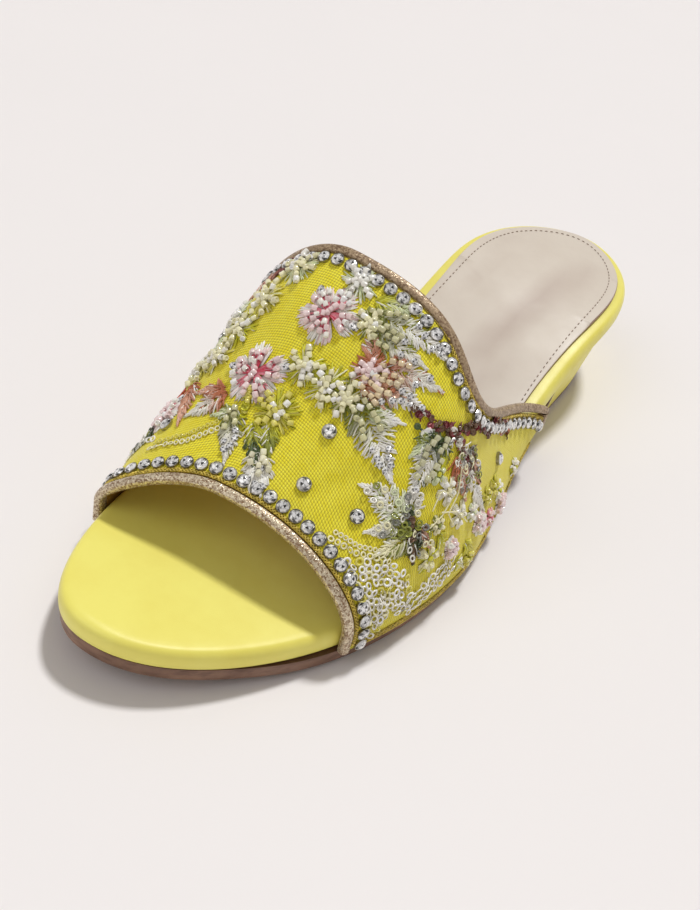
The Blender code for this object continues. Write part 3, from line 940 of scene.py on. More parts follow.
def outsole_material(colours):
    """Rose-brown sole, streaked on its side, with painted shade along its top edge under the footbed, and
    scuffed underneath.
    """
    material, n, place, base = leather_material(
        "rose_brown_sole", colours.outsole, colours.outsole_dark_and_shade, 0.5, 1100.0, 0.00004)
    up = n.parts(n.place("Normal"))[2]
    # edge marks the faces that look up, the sole's top under the footbed; they get painted shade in the
    # crease between them.
    under, edge = n.spread(up, -0.6, -0.9), n.spread(up, 0.15, 0.5)
    streaks = n.spread(n.noise(n.stretched(place, (0.2, 0.2, 1.0)), 900.0, 3.0), 0.48, 0.62, 0.0, 0.6)
    worn = n.mix(streaks, base, colours.outsole_dark_and_shade)
    scratches = n.spread(n.noise(n.stretched(place, (1.0, 0.18, 1.0)), 700.0, 4.0, 0.7), 0.56, 0.7)
    scuffed = n.mix(n.math("MULTIPLY", scratches, 0.35), base, colours.outsole_pale)
    n.shade(base_color=n.mix(edge, n.mix(under, worn, scuffed), colours.outsole_dark_and_shade))
    return material


def sock_material(colours):
    """Beige lining leather with a brown rim, and faint long creases with painted shade in them."""
    material, n, place, base = leather_material(
        "beige_lining", colours.lining, colours.lining_deep, 0.5, 1900.0, 0.00002)
    rim = n.spread(n.parts(n.place("Normal"))[2], 0.80, 0.60)
    # Painted shade in the creases of the lining, darker where a crease lies deeper.
    shade_in_creases = n.mix(n.spread(n.mark("crease", "Fac"), 0.0, 1.0, 0.0, 0.38), base, colours.lining_rim_and_crease_shade)
    n.shade(base_color=n.mix(rim, shade_in_creases, colours.lining_rim_and_crease_shade))
    return material


def piping_material(name, light, dark, metallic, scale):
    """Piping covered in fine metallic flakes over a soft crinkle."""
    material, n = start_material(name, roughness=0.4, metallic=metallic)
    place = n.place()
    flakes = n.effect("glitter_flakes", place, scale)
    crinkle = n.noise(place, 650.0, 4.0, 0.6)
    shade = n.math("MULTIPLY_ADD", flakes["Shade"], 0.6, n.math("MULTIPLY", crinkle, 0.5))
    n.shade(base_color=n.mix(n.spread(shade, 0.32, 0.72), dark, light),
            roughness=n.spread(flakes["Shade"], 0.0, 1.0, 0.5, 0.22),
            normal=n.bump(flakes["Height"], 0.6, 0.0002, Normal=n.bump(crinkle, 0.5, 0.0003)))
    return material


def tinted_material(name, mottle_scale, mottle, constants):
    """Material that takes its colour from each repeat's own tint."""
    if name in bpy.data.materials:
        return bpy.data.materials[name]
    material, n = start_material(name, **constants)
    uneven = n.noise(n.place(), mottle_scale)
    shadow = n.spread(uneven, 0.3, 0.7, 0.0, mottle)
    darker = n.mix(shadow, n.mark("tint", "Color"), (0.5, 0.47, 0.4), "MULTIPLY")
    n.shade(base_color=darker, normal=n.bump(uneven, 0.3, 0.00006))
    return material


# Dressing the solids

def dressed_copy(node, levels, sharp=50):
    """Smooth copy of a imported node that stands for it, its corners kept by creases."""
    bpy.ops.object.select_all(action="DESELECT")
    piece = frame["nodes"][node].copy()
    piece.data = piece.data.copy()
    piece.name = node + "_dressed"
    piece.parent = None
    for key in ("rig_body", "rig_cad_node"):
        if key in piece:
            del piece[key]
    bpy.context.scene.collection.objects.link(piece)
    piece.select_set(True)
    bpy.context.view_layer.objects.active = piece
    if piece.data.has_custom_normals:
        bpy.ops.mesh.customdata_custom_splitnormals_clear()
    bpy.ops.object.mode_set(mode="EDIT")
    bpy.ops.mesh.select_all(action="SELECT")
    bpy.ops.mesh.remove_doubles(threshold=0.00001)
    bpy.ops.mesh.tris_convert_to_quads(face_threshold=math.radians(30), shape_threshold=math.radians(60))
    bpy.ops.object.mode_set(mode="OBJECT")
    mark_corners(piece.data, sharp)
    smooth = piece.modifiers.new("smooth", "SUBSURF")
    smooth.levels = levels
    smooth.render_levels = levels
    bpy.ops.object.modifier_apply(modifier=smooth.name)
    bpy.ops.object.shade_smooth_by_angle(angle=math.radians(45))
    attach(piece, "root")
    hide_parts(node)
    return piece


def mark_corners(mesh, sharp):
    """Crease every edge whose faces meet at more than an angle, so that smoothing keeps it."""
    work = bmesh.new()
    work.from_mesh(mesh)
    layer = work.edges.layers.float.get("crease_edge") or work.edges.layers.float.new("crease_edge")
    for edge in work.edges:
        if len(edge.link_faces) == 2 and edge.calc_face_angle(0) > math.radians(sharp):
            edge[layer] = 1.0
    work.to_mesh(mesh)
    work.free()


def set_material(piece, *materials):
    piece.data.materials.clear()
    for material in materials:
        piece.data.materials.append(material)


def cloth_measure(cloth):
    """Lengths over the cloth, along the foot and round it, at the crossings of a grid of Y and angle."""
    ys, angles = np.linspace(*CLOTH_YS), np.linspace(*CLOTH_ANGLES)
    grid = np.full((len(ys), len(angles), 3), np.nan)
    for i, y in enumerate(ys):
        for j, angle in enumerate(angles):
            found = cloth.at(y, angle)
            if found:
                grid[i, j] = found[0]
    for j in range(len(angles)):
        known = np.flatnonzero(~np.isnan(grid[:, j, 0]))
        if not len(known):
            continue
        for i in range(len(ys)):
            if np.isnan(grid[i, j, 0]):
                nearest = known[np.abs(known - i).argmin()]
                grid[i, j] = grid[nearest, j]
                grid[i, j, 1] = ys[i]
    grid = np.nan_to_num(grid)
    along = np.zeros(grid.shape[:2])
    along[1:] = np.cumsum(np.linalg.norm(np.diff(grid, axis=0), axis=2), axis=0)
    around = np.zeros(grid.shape[:2])
    around[:, 1:] = np.cumsum(np.linalg.norm(np.diff(grid, axis=1), axis=2), axis=1)
    middle = len(angles) // 2
    around -= around[:, middle:middle + 1]
    start = len(ys) // 2
    along -= along[start:start + 1]
    return ys, angles, around, along


def unwrap_cloth(piece, cloth):
    """UV map of the upper in metres of cloth, so that the weave keeps its size."""
    ys, angles, around, along = cloth_measure(cloth)
    co = read(piece.data.vertices, "co", width=3)
    angle = np.degrees(np.arctan2(co[:, 0], co[:, 2] - FOOT_AXIS_Z))
    i = np.clip((co[:, 1] - ys[0]) / (ys[1] - ys[0]), 0, len(ys) - 1.001)
    j = np.clip((angle - angles[0]) / (angles[1] - angles[0]), 0, len(angles) - 1.001)
    i0, j0 = i.astype(int), j.astype(int)
    fi, fj = i - i0, j - j0
    uv = []
    for table in (around, along):
        low = table[i0, j0] * (1 - fj) + table[i0, j0 + 1] * fj
        high = table[i0 + 1, j0] * (1 - fj) + table[i0 + 1, j0 + 1] * fj
        uv.append(low * (1 - fi) + high * fi)
    corners = read(piece.data.loops, "vertex_index", int)
    layer = piece.data.uv_layers.new(name="cloth")
    layer.data.foreach_set("uv", np.stack(uv, 1)[corners].astype(np.float32).ravel())


def trough(place, start, end, width):
    """How deep a place lies in a soft trough between two points, from 0 to 1."""
    way = end - start
    share = (place - start).dot(way) / way.length_squared
    off = (place - (start + way * share)).length
    ends = max(0.0, 1 - (2 * share - 1) ** 2)
    return math.exp(-(off / width) ** 2) * ends ** 0.7


def press_creases(piece):
    """Press the soft long creases into the top of the lining, and mark how deep each place lies."""
    mark = piece.data.attributes.new("crease", "FLOAT", "POINT")
    for vertex in piece.data.vertices:
        if vertex.normal.z > 0.6:
            pressed = sum(trough(vertex.co.xy, Vector((x0, y0)), Vector((x1, y1)), width) * depth
                          for x0, y0, x1, y1, width, depth in LINING_CREASES)
            vertex.co.z -= pressed
            mark.data[vertex.index].value = pressed / FULL_CREASE


def press_folds(piece):
    """Press the soft folds into the outside of the cloth."""
    moves = {}
    for vertex in piece.data.vertices:
        around = Vector((vertex.co.x, vertex.co.z - FOOT_AXIS_Z))
        if vertex.normal.xz.dot(around) < 0.5 * around.length:
            continue
        per_degree = around.length / MM * PI / 180
        place = Vector((vertex.co.y / MM, math.degrees(math.atan2(*around)) * per_degree))
        pressed = sum(
            trough(place, Vector((y0, angle0 * per_degree)), Vector((y1, angle1 * per_degree)), width) * depth
            for y0, angle0, y1, angle1, width, depth in UPPER_FOLDS)
        moves[vertex.index] = vertex.normal * pressed * MM
    for index, move in moves.items():
        piece.data.vertices[index].co -= move


def line_inner_faces(piece, slot_index):
    """Give the second material to the faces that look at the foot."""
    for face in piece.data.polygons:
        centre = face.center
        outward = Vector((centre.x, 0, centre.z - FOOT_AXIS_Z))
        if face.normal.dot(outward) < 0:
            face.material_index = slot_index


# Motifs

def blend(first, second, share):
    """Colour at a share of the way from one thread colour to another."""
    return [a + (b - a) * share for a, b in zip(THREADS[first], THREADS[second])]


def sew_rose(sewing, y, angle, radius, turn):
    """Five feathered petals, white to blush, round a red heart, with cut beads and two clear drops."""
    spot = Spot(sewing.cloth, y, angle, turn)
    draw = sewing.draw
    large = radius > LARGE_ROSE
    threads = 31 if large else 10
    for petal in range(5):
        middle = 2 * PI * petal / 5 + draw.uniform(-0.1, 0.1)
        reach = radius * draw.uniform(0.92, 1.08)
        for k in range(threads):
            s = 2 * (k + 0.5) / threads - 1 + draw.uniform(-0.05, 0.05)
            sewing.stitch(spot, (0.2 * reach, middle + 0.62 * s, 0.25),
                          (0.64 * reach, middle + 0.6 * s, 1.0 - 0.35 * abs(s)),
                          (reach * (1 - 0.2 * s * s) * draw.uniform(0.86, 1.06), middle + 0.54 * s, 0.1),
                          sewing.pick("white", "white", "white", "white", "blush", "blush"), spread=0.12)
        for k in range(int(threads * 0.75)):
            s = draw.uniform(-0.9, 0.9)
            sewing.stitch(spot, (0.04 * reach, middle + s, 0.9), (0.34 * reach, middle + 0.5 * s, 1.55),
                          (draw.uniform(0.36, 0.66) * reach, middle + 0.42 * s, 1.1),
                          THREADS["red" if draw.random() < 0.45 else "rose"], spread=0.2)
        sew_petal_beads(sewing, spot, middle, reach, petal)
    for k in range(3 if large else 1):
        place = spot.point(0.13 * radius * (k > 0), 2.6 * k, 1.5)
        sewing.beads.put(*place, spot.along, 0.95 * sewing.bead, THREADS["blush"], tilt=0.4)


def sew_petal_beads(sewing, spot, middle, reach, petal):
    """Cut beads along a petal, and a clear drop near the tip of two of the petals."""
    draw = sewing.draw
    for share, swing in PETAL_BEADS if reach > LARGE_ROSE else PETAL_BEADS[1:4]:
        if draw.random() < 0.15:
            continue
        way = middle + swing + draw.uniform(-0.08, 0.08)
        place = spot.point((share + draw.uniform(-0.03, 0.03)) * reach, way, 1.55 - 0.6 * share)
        colour = sewing.pick("white", "blush", "blush")
        sewing.beads.put(*place, spot.toward(way), sewing.bead * draw.uniform(0.9, 1.15), colour, 0.12, 0.35)
    if reach > LARGE_ROSE and petal in (1, 3):
        place = spot.point(0.88 * reach, middle, 0.7)
        sewing.stones.put(*place, spot.toward(middle), **DROP, tilt=0.12)


def sew_cluster(sewing, y, angle, radius, arms, bead_colour, thread_colour):
    """Spiky star of thread with short rows of cut beads on its arms."""
    spot = Spot(sewing.cloth, y, angle, sewing.draw.uniform(0, 90))
    draw = sewing.draw
    for _ in range(int(15 * radius)):
        way = draw.uniform(0, 2 * PI)
        reach = radius * draw.uniform(0.65, 1.3)
        sewing.stitch(spot, (draw.uniform(0, 0.35) * radius, way + draw.uniform(-0.6, 0.6), 0.3),
                      (0.6 * reach, way, draw.uniform(0.5, 0.95)),
                      (reach, way + draw.uniform(-0.12, 0.12), 0.15),
                      THREADS[thread_colour if draw.random() < 0.65 else bead_colour], 0.95, 0.25)
    for arm in range(arms):
        way = 2 * PI * arm / arms + draw.uniform(-0.2, 0.2)
        for k, share in enumerate((0.3, 0.62, 0.96)):
            if k == 2 and draw.random() < 0.3:
                continue
            place = spot.point(share * radius, way + draw.uniform(-0.22, 0.22), 1.3 - 0.4 * share)
            size = sewing.bead * draw.uniform(0.9, 1.15)
            colour = sewing.pick(bead_colour, bead_colour, bead_colour, "white")
            sewing.beads.put(*place, spot.toward(way + 0.3), size, colour, 0.12, 0.35)
    sewing.beads.put(*spot.point(0, 0, 1.5), spot.along, sewing.bead, THREADS[bead_colour], tilt=0.3)


def leaf_width(t):
    """Share of its half width that a leaf has at a share of its length."""
    return (0.35 + 0.65 * math.sin(PI * min(1, 0.25 + 0.75 * t) ** 0.8)) * (1 - t ** 4)


def sew_leaf(sewing, base, tip, half_width, base_colour, tip_colour, trim=None):
    """Feathered leaf: long threads fan out from the midrib and change colour toward the tip."""
    draw = sewing.draw
    line = cloth_line(sewing.cloth, (base, tip), LEAF_PITCH * MM)
    last = len(line) - 1
    for i, (place, normal, _, across) in enumerate(line):
        t = i / last
        for side in (-1, 1):
            stride = 1.7 - 0.8 * t if draw.random() < 0.3 else 4.0 - 2.4 * t
            ahead = i + int(draw.uniform(0.75, 1.4) * stride / LEAF_PITCH)
            beyond = min(1.4, max(0, ahead - last) * LEAF_PITCH) * MM
            ahead = min(last, ahead)
            reach = half_width * (0.1 + leaf_width(ahead / last)) * draw.uniform(0.3, 1.12) * side * MM
            goal = line[ahead][0] + line[ahead][3] * reach + line[ahead][2] * beyond * draw.random()
            end, _ = sewing.cloth.near(goal, normal)
            root = place + across * side * draw.uniform(-0.1, 0.3) * half_width * leaf_width(t) * MM
            root = root + normal * 0.35 * MM
            bend = (root + end) / 2 + across * reach * 0.12 + normal * draw.uniform(0.5, 1.0) * MM
            shade = min(1, max(0, 2.3 * t - 0.15 + draw.uniform(-0.25, 0.25)))
            colour = blend(base_colour, tip_colour, shade)
            if draw.random() < 0.14:
                colour = sewing.pick("white", "white", base_colour)
            sewing.threads.put(root, bend, end + normal * 0.15 * MM, normal, sewing.thread, colour, 0.15)
    if trim:
        sew_leaf_trim(sewing, line, half_width, base_colour, trim)


def sew_leaf_trim(sewing, line, half_width, base_colour, trim):
    """Beads on the inner half of a leaf with small stones further out, or ring sequins all along it."""
    draw = sewing.draw
    last = len(line) - 1
    bead_end, spacing = LEAF_TRIMS[trim]
    i = 1.0
    side = 1
    while i < last * 0.9:
        place, normal, ahead, across = line[int(i)]
        t = i / last
        width = half_width * 0.5 * draw.uniform(0.5, 1.2) * math.sin(PI * min(1, 0.2 + 0.8 * t))
        spot, up = sewing.cloth.near(place + across * side * width * MM, normal)
        if trim == "rings":
            colour = sewing.pick("silver", "olive", "grey", "cream", base_colour)
            sewing.rings.put(spot + up * 1.0 * MM, up, ahead, sewing.ring, colour, tilt=0.25)
        elif t < bead_end:
            size = sewing.bead * draw.uniform(0.9, 1.1)
            colour = blend(base_colour, "cream", 0.65)
            sewing.beads.put(spot + up * 1.2 * MM, up, ahead, size, colour, 0.15, 0.35)
        elif draw.random() < 0.5:
            sewing.stones.put(spot + up * 0.95 * MM, up, ahead, **LEAF_STONE, tilt=0.2)
        i += spacing / LEAF_PITCH * 0.6 * draw.uniform(0.8, 1.25)
        side = -side


def sew_blossom(sewing, y, angle, radius, bead_colour, thread_colour):
    """Small flower of five thread petals with a bead on each."""
    spot = Spot(sewing.cloth, y, angle, sewing.draw.uniform(0, 70))
    size = 0.8 * sewing.bead
    for petal in range(5):
        middle = 2 * PI * petal / 5
        for k in range(8):
            s = 2 * (k + 0.5) / 8 - 1
            sewing.stitch(spot, (0.1 * radius, middle + s, 0.3), (0.6 * radius, middle + 0.5 * s, 0.75),
                          (radius * (1.1 - 0.2 * s * s), middle + 0.42 * s, 0.15),
                          THREADS[bead_colour if sewing.draw.random() < 0.6 else thread_colour], 0.9)
        place = spot.point(0.55 * radius, middle, 0.9)
        sewing.beads.put(*place, spot.toward(middle), size, THREADS[bead_colour], tilt=0.2)
    sewing.beads.put(*spot.point(0, 0, 1.0), spot.along, size, THREADS[thread_colour], tilt=0.2)


def sew_stem(sewing, places, width, colours):
    """Overlapping sequins and short threads along a line."""
    draw = sewing.draw
    for place, normal, ahead, across in cloth_line(sewing.cloth, places, 0.0006):
        shift = draw.uniform(-0.5, 0.5) * width
        spot, up = sewing.cloth.near(place + across * shift * MM, normal)
        colour = sewing.pick(*colours)
        kind = draw.random()
        if kind < 0.45:
            size = sewing.sequin * draw.uniform(0.8, 1.1)
            sewing.sequins.put(spot + up * 0.7 * MM, up, ahead, size, colour, 0.25, 0.4)
        elif kind < 0.6:
            sewing.beads.put(spot + up * 0.8 * MM, up, across, 0.75 * sewing.bead, colour, tilt=0.3)
        way = draw.uniform(-1.0, 1.0)
        slant = ahead * math.cos(way) + across * math.sin(way)
        root = spot + up * 0.2 * MM
        tip = sewing.cloth.near(spot + slant * 2.0 * MM, up)[0] + up * 0.3 * MM
        bend = (root + tip) / 2 + up * 0.8 * MM
        sewing.threads.put(root, bend, tip, up, sewing.thread * 0.9, sewing.pick(*colours))


def sew_chain(sewing, places, length, colour):
    """Row of linked oval rings, as chain stitch or ring sequins."""
    for place, normal, ahead, across in cloth_line(sewing.cloth, places, 0.9 * length * MM):
        sewing.rings.put(place + normal * 0.4 * MM, normal, ahead, length, THREADS[colour], tilt=0.25)


def sew_curl(sewing, places):
    """Thin loose thread laid in a curl."""
    line = cloth_line(sewing.cloth, places, 0.0016)
    for a, b in zip(line, line[1:]):
        root, tip = (place + normal * 1.1 * MM for place, normal, _, _ in (a, b))
        overlap = (tip - root) * 0.25
        sewing.threads.put(root - overlap, (root + tip) / 2, tip + overlap, a[1], sewing.thread,
                           THREADS["cream"])


def inside(outline, point):
    """Whether a place lies inside an outline of places."""
    odd = False
    for (x0, y0), (x1, y1) in zip(outline, outline[1:] + outline[:1]):
        if (y0 > point[1]) != (y1 > point[1]) and point[0] < x0 + (x1 - x0) * (point[1] - y0) / (y1 - y0):
            odd = not odd
    return odd


def fill_with_rings(sewing, outline):
    """Fill an outline on the cloth with loosely packed ring sequins."""
    draw = sewing.draw
    low, high = np.min(outline, 0), np.max(outline, 0)
    taken = []
    for _ in range(RING_TRIES):
        place = (draw.uniform(low[0], high[0]), draw.uniform(low[1], high[1]))
        if not inside(outline, place):
            continue
        found = sewing.cloth.at(place[0] * MM, place[1])
        if not found or any((found[0] - other).length < draw.uniform(0.0013, 0.0019) for other in taken):
            continue
        taken.append(found[0])
        colour = sewing.pick("white", "white", "white", "silver", "cream", "straw")
        lifted = found[0] + found[1] * draw.uniform(0.35, 0.8) * MM
        size = 1.15 * sewing.ring * draw.uniform(0.9, 1.1)
        sewing.rings.put(lifted, found[1], Vector((0, 1, 0)), size, colour, 0.12, 0.3)


class Sewing:
    """What the motifs are sewn with."""

    def __init__(self, seed):
        sizes = bpy.context.scene.slipper_sizes
        self.cloth = upper_cloth()
        self.draw = random.Random(seed)
        self.thread = sizes.thread_width / MM
        self.bead = sizes.bead_size / MM
        self.ring = sizes.ring_size / MM
        self.sequin = sizes.sequin_size / MM
        self.threads = Strands("thread", seed + 1)
        self.beads = Copies("bead", seed + 2)
        self.rings = Copies("ring", seed + 3)
        self.sequins = Copies("sequin", seed + 4)
        self.stones = Copies("stone", seed + 5)

    def pick(self, *names):
        """One of the thread colours, drawn at random."""
        return THREADS[self.draw.choice(names)]

    def stitch(self, spot, root, bend, tip, colour, width=1.0, spread=0.1):
        """One thread of a motif; root, bend and tip are a reach, a way and a lift from its centre."""
        root, normal = spot.point(*root)
        self.threads.put(root, spot.point(*bend)[0], spot.point(*tip)[0], normal, self.thread * width, colour,
                         spread)

    def finish(self, name):
        """Make one piece of each kind that was used."""
        for batch, word in ((self.threads, "threads"), (self.beads, "beads"), (self.rings, "rings"),
                            (self.sequins, "sequins"), (self.stones, "drops")):
            if batch.places:
                batch.piece(f"{name}_{word}")


def painted_facet_reflections(stone):
    """Painted reflection of each facet of the stone, a brightness that makes it look lit from inside."""
    draw = random.Random(7)
    return np.array([draw.choice(PAINTED_FACET_REFLECTIONS) for _ in stone.polygons])


def upper_cloth():
    """The dressed upper's places."""
    return Cloth(bpy.data.objects["upper_dressed"])


def set_stones(name, places, diameter, seed):
    """Stones in their silver cups at a list of place, normal and way ahead."""
    stones = Copies("stone", seed)
    cups = Copies("cup", seed + 1)
    draw = random.Random(seed + 2)
    silver = bpy.context.scene.slipper_colours.cups
    for place, normal, ahead in places:
        turn = draw.uniform(0, 2 * PI)
        way = ahead * math.cos(turn) + normal.cross(ahead) * math.sin(turn)
        bright = draw.choice((1.0, 0.95, 0.9, 0.8))
        stones.put(place + normal * 0.2 * diameter, normal, way, diameter / MM, (bright,) * 3, tilt=0.05)
        cups.put(place + normal * 0.1 * diameter, normal, way, 1.1 * diameter / MM, silver, tilt=0.03)
    stones.piece(name + "_stones")
    cups.piece(name + "_cups")


def lay_braid(strands, line, width, lift):
    """Braid of slanting gold threads along a line, crossing from side to side."""
    draw = strands.random
    for i, ((place, normal, _, across), (far, _, _, far_across)) in enumerate(zip(line, line[3:])):
        side = 1 if i % 2 else -1
        root = place + across * side * width / 2 + normal * lift
        tip = far - far_across * side * width / 2 + normal * lift
        bend = (root + tip) / 2 + normal * (0.35 + 0.25 * draw.random()) * MM
        bright = draw.uniform(0.7, 1.25)
        strands.put(root, bend, tip, normal, BRAID_THREAD, [c * bright for c in THREADS["gold"]], 0.25)


def hem_line(cloth, side, raise_by, pitch):
    """Frames along the lower edge of the wall on one side, just above the sole."""
    points = []
    for y in np.linspace(HEM_FRONTS[side], HEM_REAR, 40):
        height = cloth.hem(y, side) + raise_by
        place, _, _, _ = cloth.tree.ray_cast(Vector((side * 0.09, y, height)), Vector((-side, 0, 0)))
        if place is not None:
            points.append(place)
    return line_frames(cloth, smooth_line(points, pitch), Vector((side, 0, 0)))


def lining_rim_and_crease_shade(tree, inset):
    """Points over the lining a little inside its rim, all round it but for its front end under the upper."""
    low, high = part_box("sock_lining")
    middle = Vector(((low.x + high.x) / 2, 0, RIM_ABOVE))
    rim = []
    for turn in np.linspace(-PI, PI, 181):
        way = Vector((math.sin(turn), math.cos(turn), 0))
        near, far = 0.0, RIM_BEYOND
        for _ in range(16):
            reach = (near + far) / 2
            if tree.ray_cast(middle + way * reach, -UP)[0] is not None:
                near = reach
            else:
                far = reach
        if (middle + way * near).y > low.y + RIM_FRONT:
            rim.append(middle + way * (near - inset))
    return rim


# Sizes and colours that a user would change

def length_property(name, description, default):
    return bpy.props.FloatProperty(name=name, description=description, default=default, subtype="DISTANCE",
                                   unit="LENGTH", precision=5)


def colour_property(name, description, code):
    return bpy.props.FloatVectorProperty(name=name, description=description, default=tone(code),
                                         subtype="COLOR", size=3, min=0, max=1)


class SlipperSizes(bpy.types.PropertyGroup):
    """Sizes of what is sewn on."""

    stone_diameter: length_property("Stone", "Diameter of a stone", 0.0035)
    stone_pitch: length_property("Stone pitch", "Distance from one stone of a row to the next", 0.0042)
    front_row: length_property("Front row", "Distance of the stones from the front edge of the cloth", 0.0029)
    rear_row: length_property("Rear row", "Distance of the stones from the topline of the cloth", 0.0028)
    braid_width: length_property("Braid", "Width of the gold braid beside the stones", 0.0013)
    thread_width: length_property("Thread", "Thickness of the embroidery thread", 0.00048)
    bead_size: length_property("Bead", "Diameter and length of a cut bead", 0.00165)
    ring_size: length_property("Ring", "Diameter of a ring sequin", 0.0021)
    sequin_size: length_property("Sequin", "Diameter of a dished sequin", 0.0022)
    weave_pitch: length_property("Weave", "Distance from thread to thread of the cloth", 0.00078)
    stitch_pitch: length_property("Stitch pitch", "Distance between the stitches of the lining", 0.0021)
    stitch_inset: length_property("Stitch inset", "Distance of the stitches from the lining's edge", 0.0035)
    top_piece: length_property("Top piece", "Height of the dark top piece under the heel", 0.0022)
    # The dark band over the heel is partly the sole's edge and partly painted shade under the footbed.
    sole_edge_and_shade_height: length_property("Sole seam", "Height of the dark edge of the sole over the heel", 0.0009)


class SlipperColours(bpy.types.PropertyGroup):
    """Colours of the cloth and the leathers."""

    cloth: colour_property("Cloth", "Cloth of the upper", "f8e910")
    cloth_light: colour_property("Cloth, light", "Lighter threads of the cloth", "fff640")
    # Painted shade between the threads of the cloth, also the darker tone of its random unevenness.
    cloth_gap_shade_and_mottle: colour_property("Cloth, gaps", "Between the threads of the cloth", "ae9a08")
    # Colours of the upper's lining: partly its own olive-yellow, partly painted shade of the dark hollow
    # under the upper.
    inside: colour_property("Inside", "Lining of the upper", "aa8229")
    inside_dark: colour_property("Inside, dark", "Darker parts of the upper's lining", "9c7522")
    leather: colour_property("Leather", "Leather of the footbed", "f4eb75")
    leather_deep: colour_property("Leather, deep", "Deeper tone of the leather", "eee268")
    heel: colour_property("Heel", "Leather of the heel", "eee574")
    lining: colour_property("Sock lining", "Leather that the foot rests on", "d9cebf")
    lining_deep: colour_property("Sock lining, deep", "Deeper tone of the sock lining", "d3c7b8")
    # Brown rim of the sock lining, also the colour of the painted shade in its creases.
    lining_rim_and_crease_shade: colour_property("Sock lining, rim", "Edge of the sock lining", "9a7c70")
    outsole: colour_property("Outsole", "Sole", "94705a")
    # Darker tone of the sole, its streaks and top piece, also the painted shade along its top edge and over
    # the heel.
    outsole_dark_and_shade: colour_property("Outsole, dark", "Darker parts of the sole", "5e3e2c")
    outsole_pale: colour_property("Outsole, pale", "Scuffs under the sole", "d0bcae")
    piping: colour_property("Piping", "Champagne piping of the front edge", "e6d8bc")
    piping_dark: colour_property("Piping, dark", "Darker flakes of the piping", "8a6c50")
    cups: colour_property("Cups", "Silver cups of the stones", "b0aca0")
    stitches: colour_property("Stitches", "Thread round the sock lining", "9d8675")
    topline: colour_property("Topline", "Beige piping of the topline", "b8a080")
    topline_dark: colour_property("Topline, dark", "Darker flakes of the topline piping", "7c6248")
    floor: colour_property("Floor", "Floor and backdrop", "f0eceb")


class SlipperStage(bpy.types.PropertyGroup):
    """Camera and light."""

    camera_place: bpy.props.FloatVectorProperty(name="Camera", description="Place of the camera", size=3,
                                                default=(0.1090, -0.3428, 0.2295), subtype="TRANSLATION")
    heading: bpy.props.FloatProperty(name="Heading", description="Way the camera looks, from +Y toward -X",
                                     default=math.radians(25.341), subtype="ANGLE")
    tilt: bpy.props.FloatProperty(name="Tilt", description="How far the camera looks down",
                                  default=math.radians(39.493), subtype="ANGLE")
    roll: bpy.props.FloatProperty(name="Roll", description="How far the camera is rolled",
                                  default=math.radians(14.564), subtype="ANGLE")
    lens: bpy.props.FloatProperty(name="Lens", description="Focal length", default=44.63,
                                  subtype="DISTANCE_CAMERA")


# Operators

class SLIPPER_OT_leather_parts(bpy.types.Operator):
    """Dress the footbed, heel, outsole and sock lining in leather."""

    bl_idname = "slipper.leather_parts"
    bl_label = "Leather parts"

    def execute(self, context):
        for node, material, levels in (("footbed", footbed_material, 2), ("heel", heel_material, 2),
                                       ("outsole", outsole_material, 2), ("sock_lining", sock_material, 3)):
            piece = dressed_copy(node, levels)
            if node == "sock_lining":
                press_creases(piece)
            set_material(piece, material(context.scene.slipper_colours))
        return {"FINISHED"}


class SLIPPER_OT_upper(bpy.types.Operator):
    """Dress the upper in woven cloth, lined inside."""

    bl_idname = "slipper.upper"
    bl_label = "Upper"

    def execute(self, context):
        colours, sizes = context.scene.slipper_colours, context.scene.slipper_sizes
        piece = dressed_copy("upper", 2)
        press_folds(piece)
        set_material(piece, cloth_material(colours, sizes), lining_and_painted_shade_material(colours))
        unwrap_cloth(piece, upper_cloth())
        line_inner_faces(piece, 1)
        return {"FINISHED"}


class SLIPPER_OT_pipings(bpy.types.Operator):
    """Cover both pipings in fine glittering leather."""

    bl_idname = "slipper.pipings"
    bl_label = "Pipings"

    def execute(self, context):
        colours = context.scene.slipper_colours
        for node, material in (
            ("front_piping", ("champagne_piping", colours.piping, colours.piping_dark, 0.55, 2600.0)),
            ("topline_piping", ("beige_piping", colours.topline, colours.topline_dark, 0.25, 2200.0)),
        ):
            set_material(dressed_copy(node, 1, 75), piping_material(*material))
        return {"FINISHED"}


class SLIPPER_OT_edge_stones(bpy.types.Operator):
    """Set the rows of stones along the front edge and the topline, and the lone stones."""

    bl_idname = "slipper.edge_stones"
    bl_label = "Stones"

    def execute(self, context):
        sizes = context.scene.slipper_sizes
        cloth = upper_cloth()
        for name, front, distance, seed in (("front_row", True, sizes.front_row, 11),
                                            ("rear_row", False, sizes.rear_row, 21)):
            line = edge_line(cloth, front, distance, sizes.stone_pitch)
            set_stones(name, [frame[:3] for frame in line], sizes.stone_diameter, seed)
        lone = [(*cloth.at(y * MM, angle), Vector((0, 1, 0))) for y, angle in LONE_STONES]
        set_stones("lone", lone, 1.05 * sizes.stone_diameter, 31)
        return {"FINISHED"}


class SLIPPER_OT_gold_braid(bpy.types.Operator):
    """Lay the gold braid between piping and stones and along both lower edges."""

    bl_idname = "slipper.gold_braid"
    bl_label = "Gold braid"

    def execute(self, context):
        width = context.scene.slipper_sizes.braid_width
        cloth = upper_cloth()
        strands = Strands("gold", 41)
        for front in (True, False):
            lay_braid(strands, edge_line(cloth, front, 0.45 * width, BRAID_PITCH), width, 0.2 * MM)
        for side in (-1, 1):
            for raise_by in HEM_BRAIDS:
                lay_braid(strands, hem_line(cloth, side, raise_by, HEM_PITCH), width, 0.1 * MM)
        strands.piece("gold_braid")
        return {"FINISHED"}


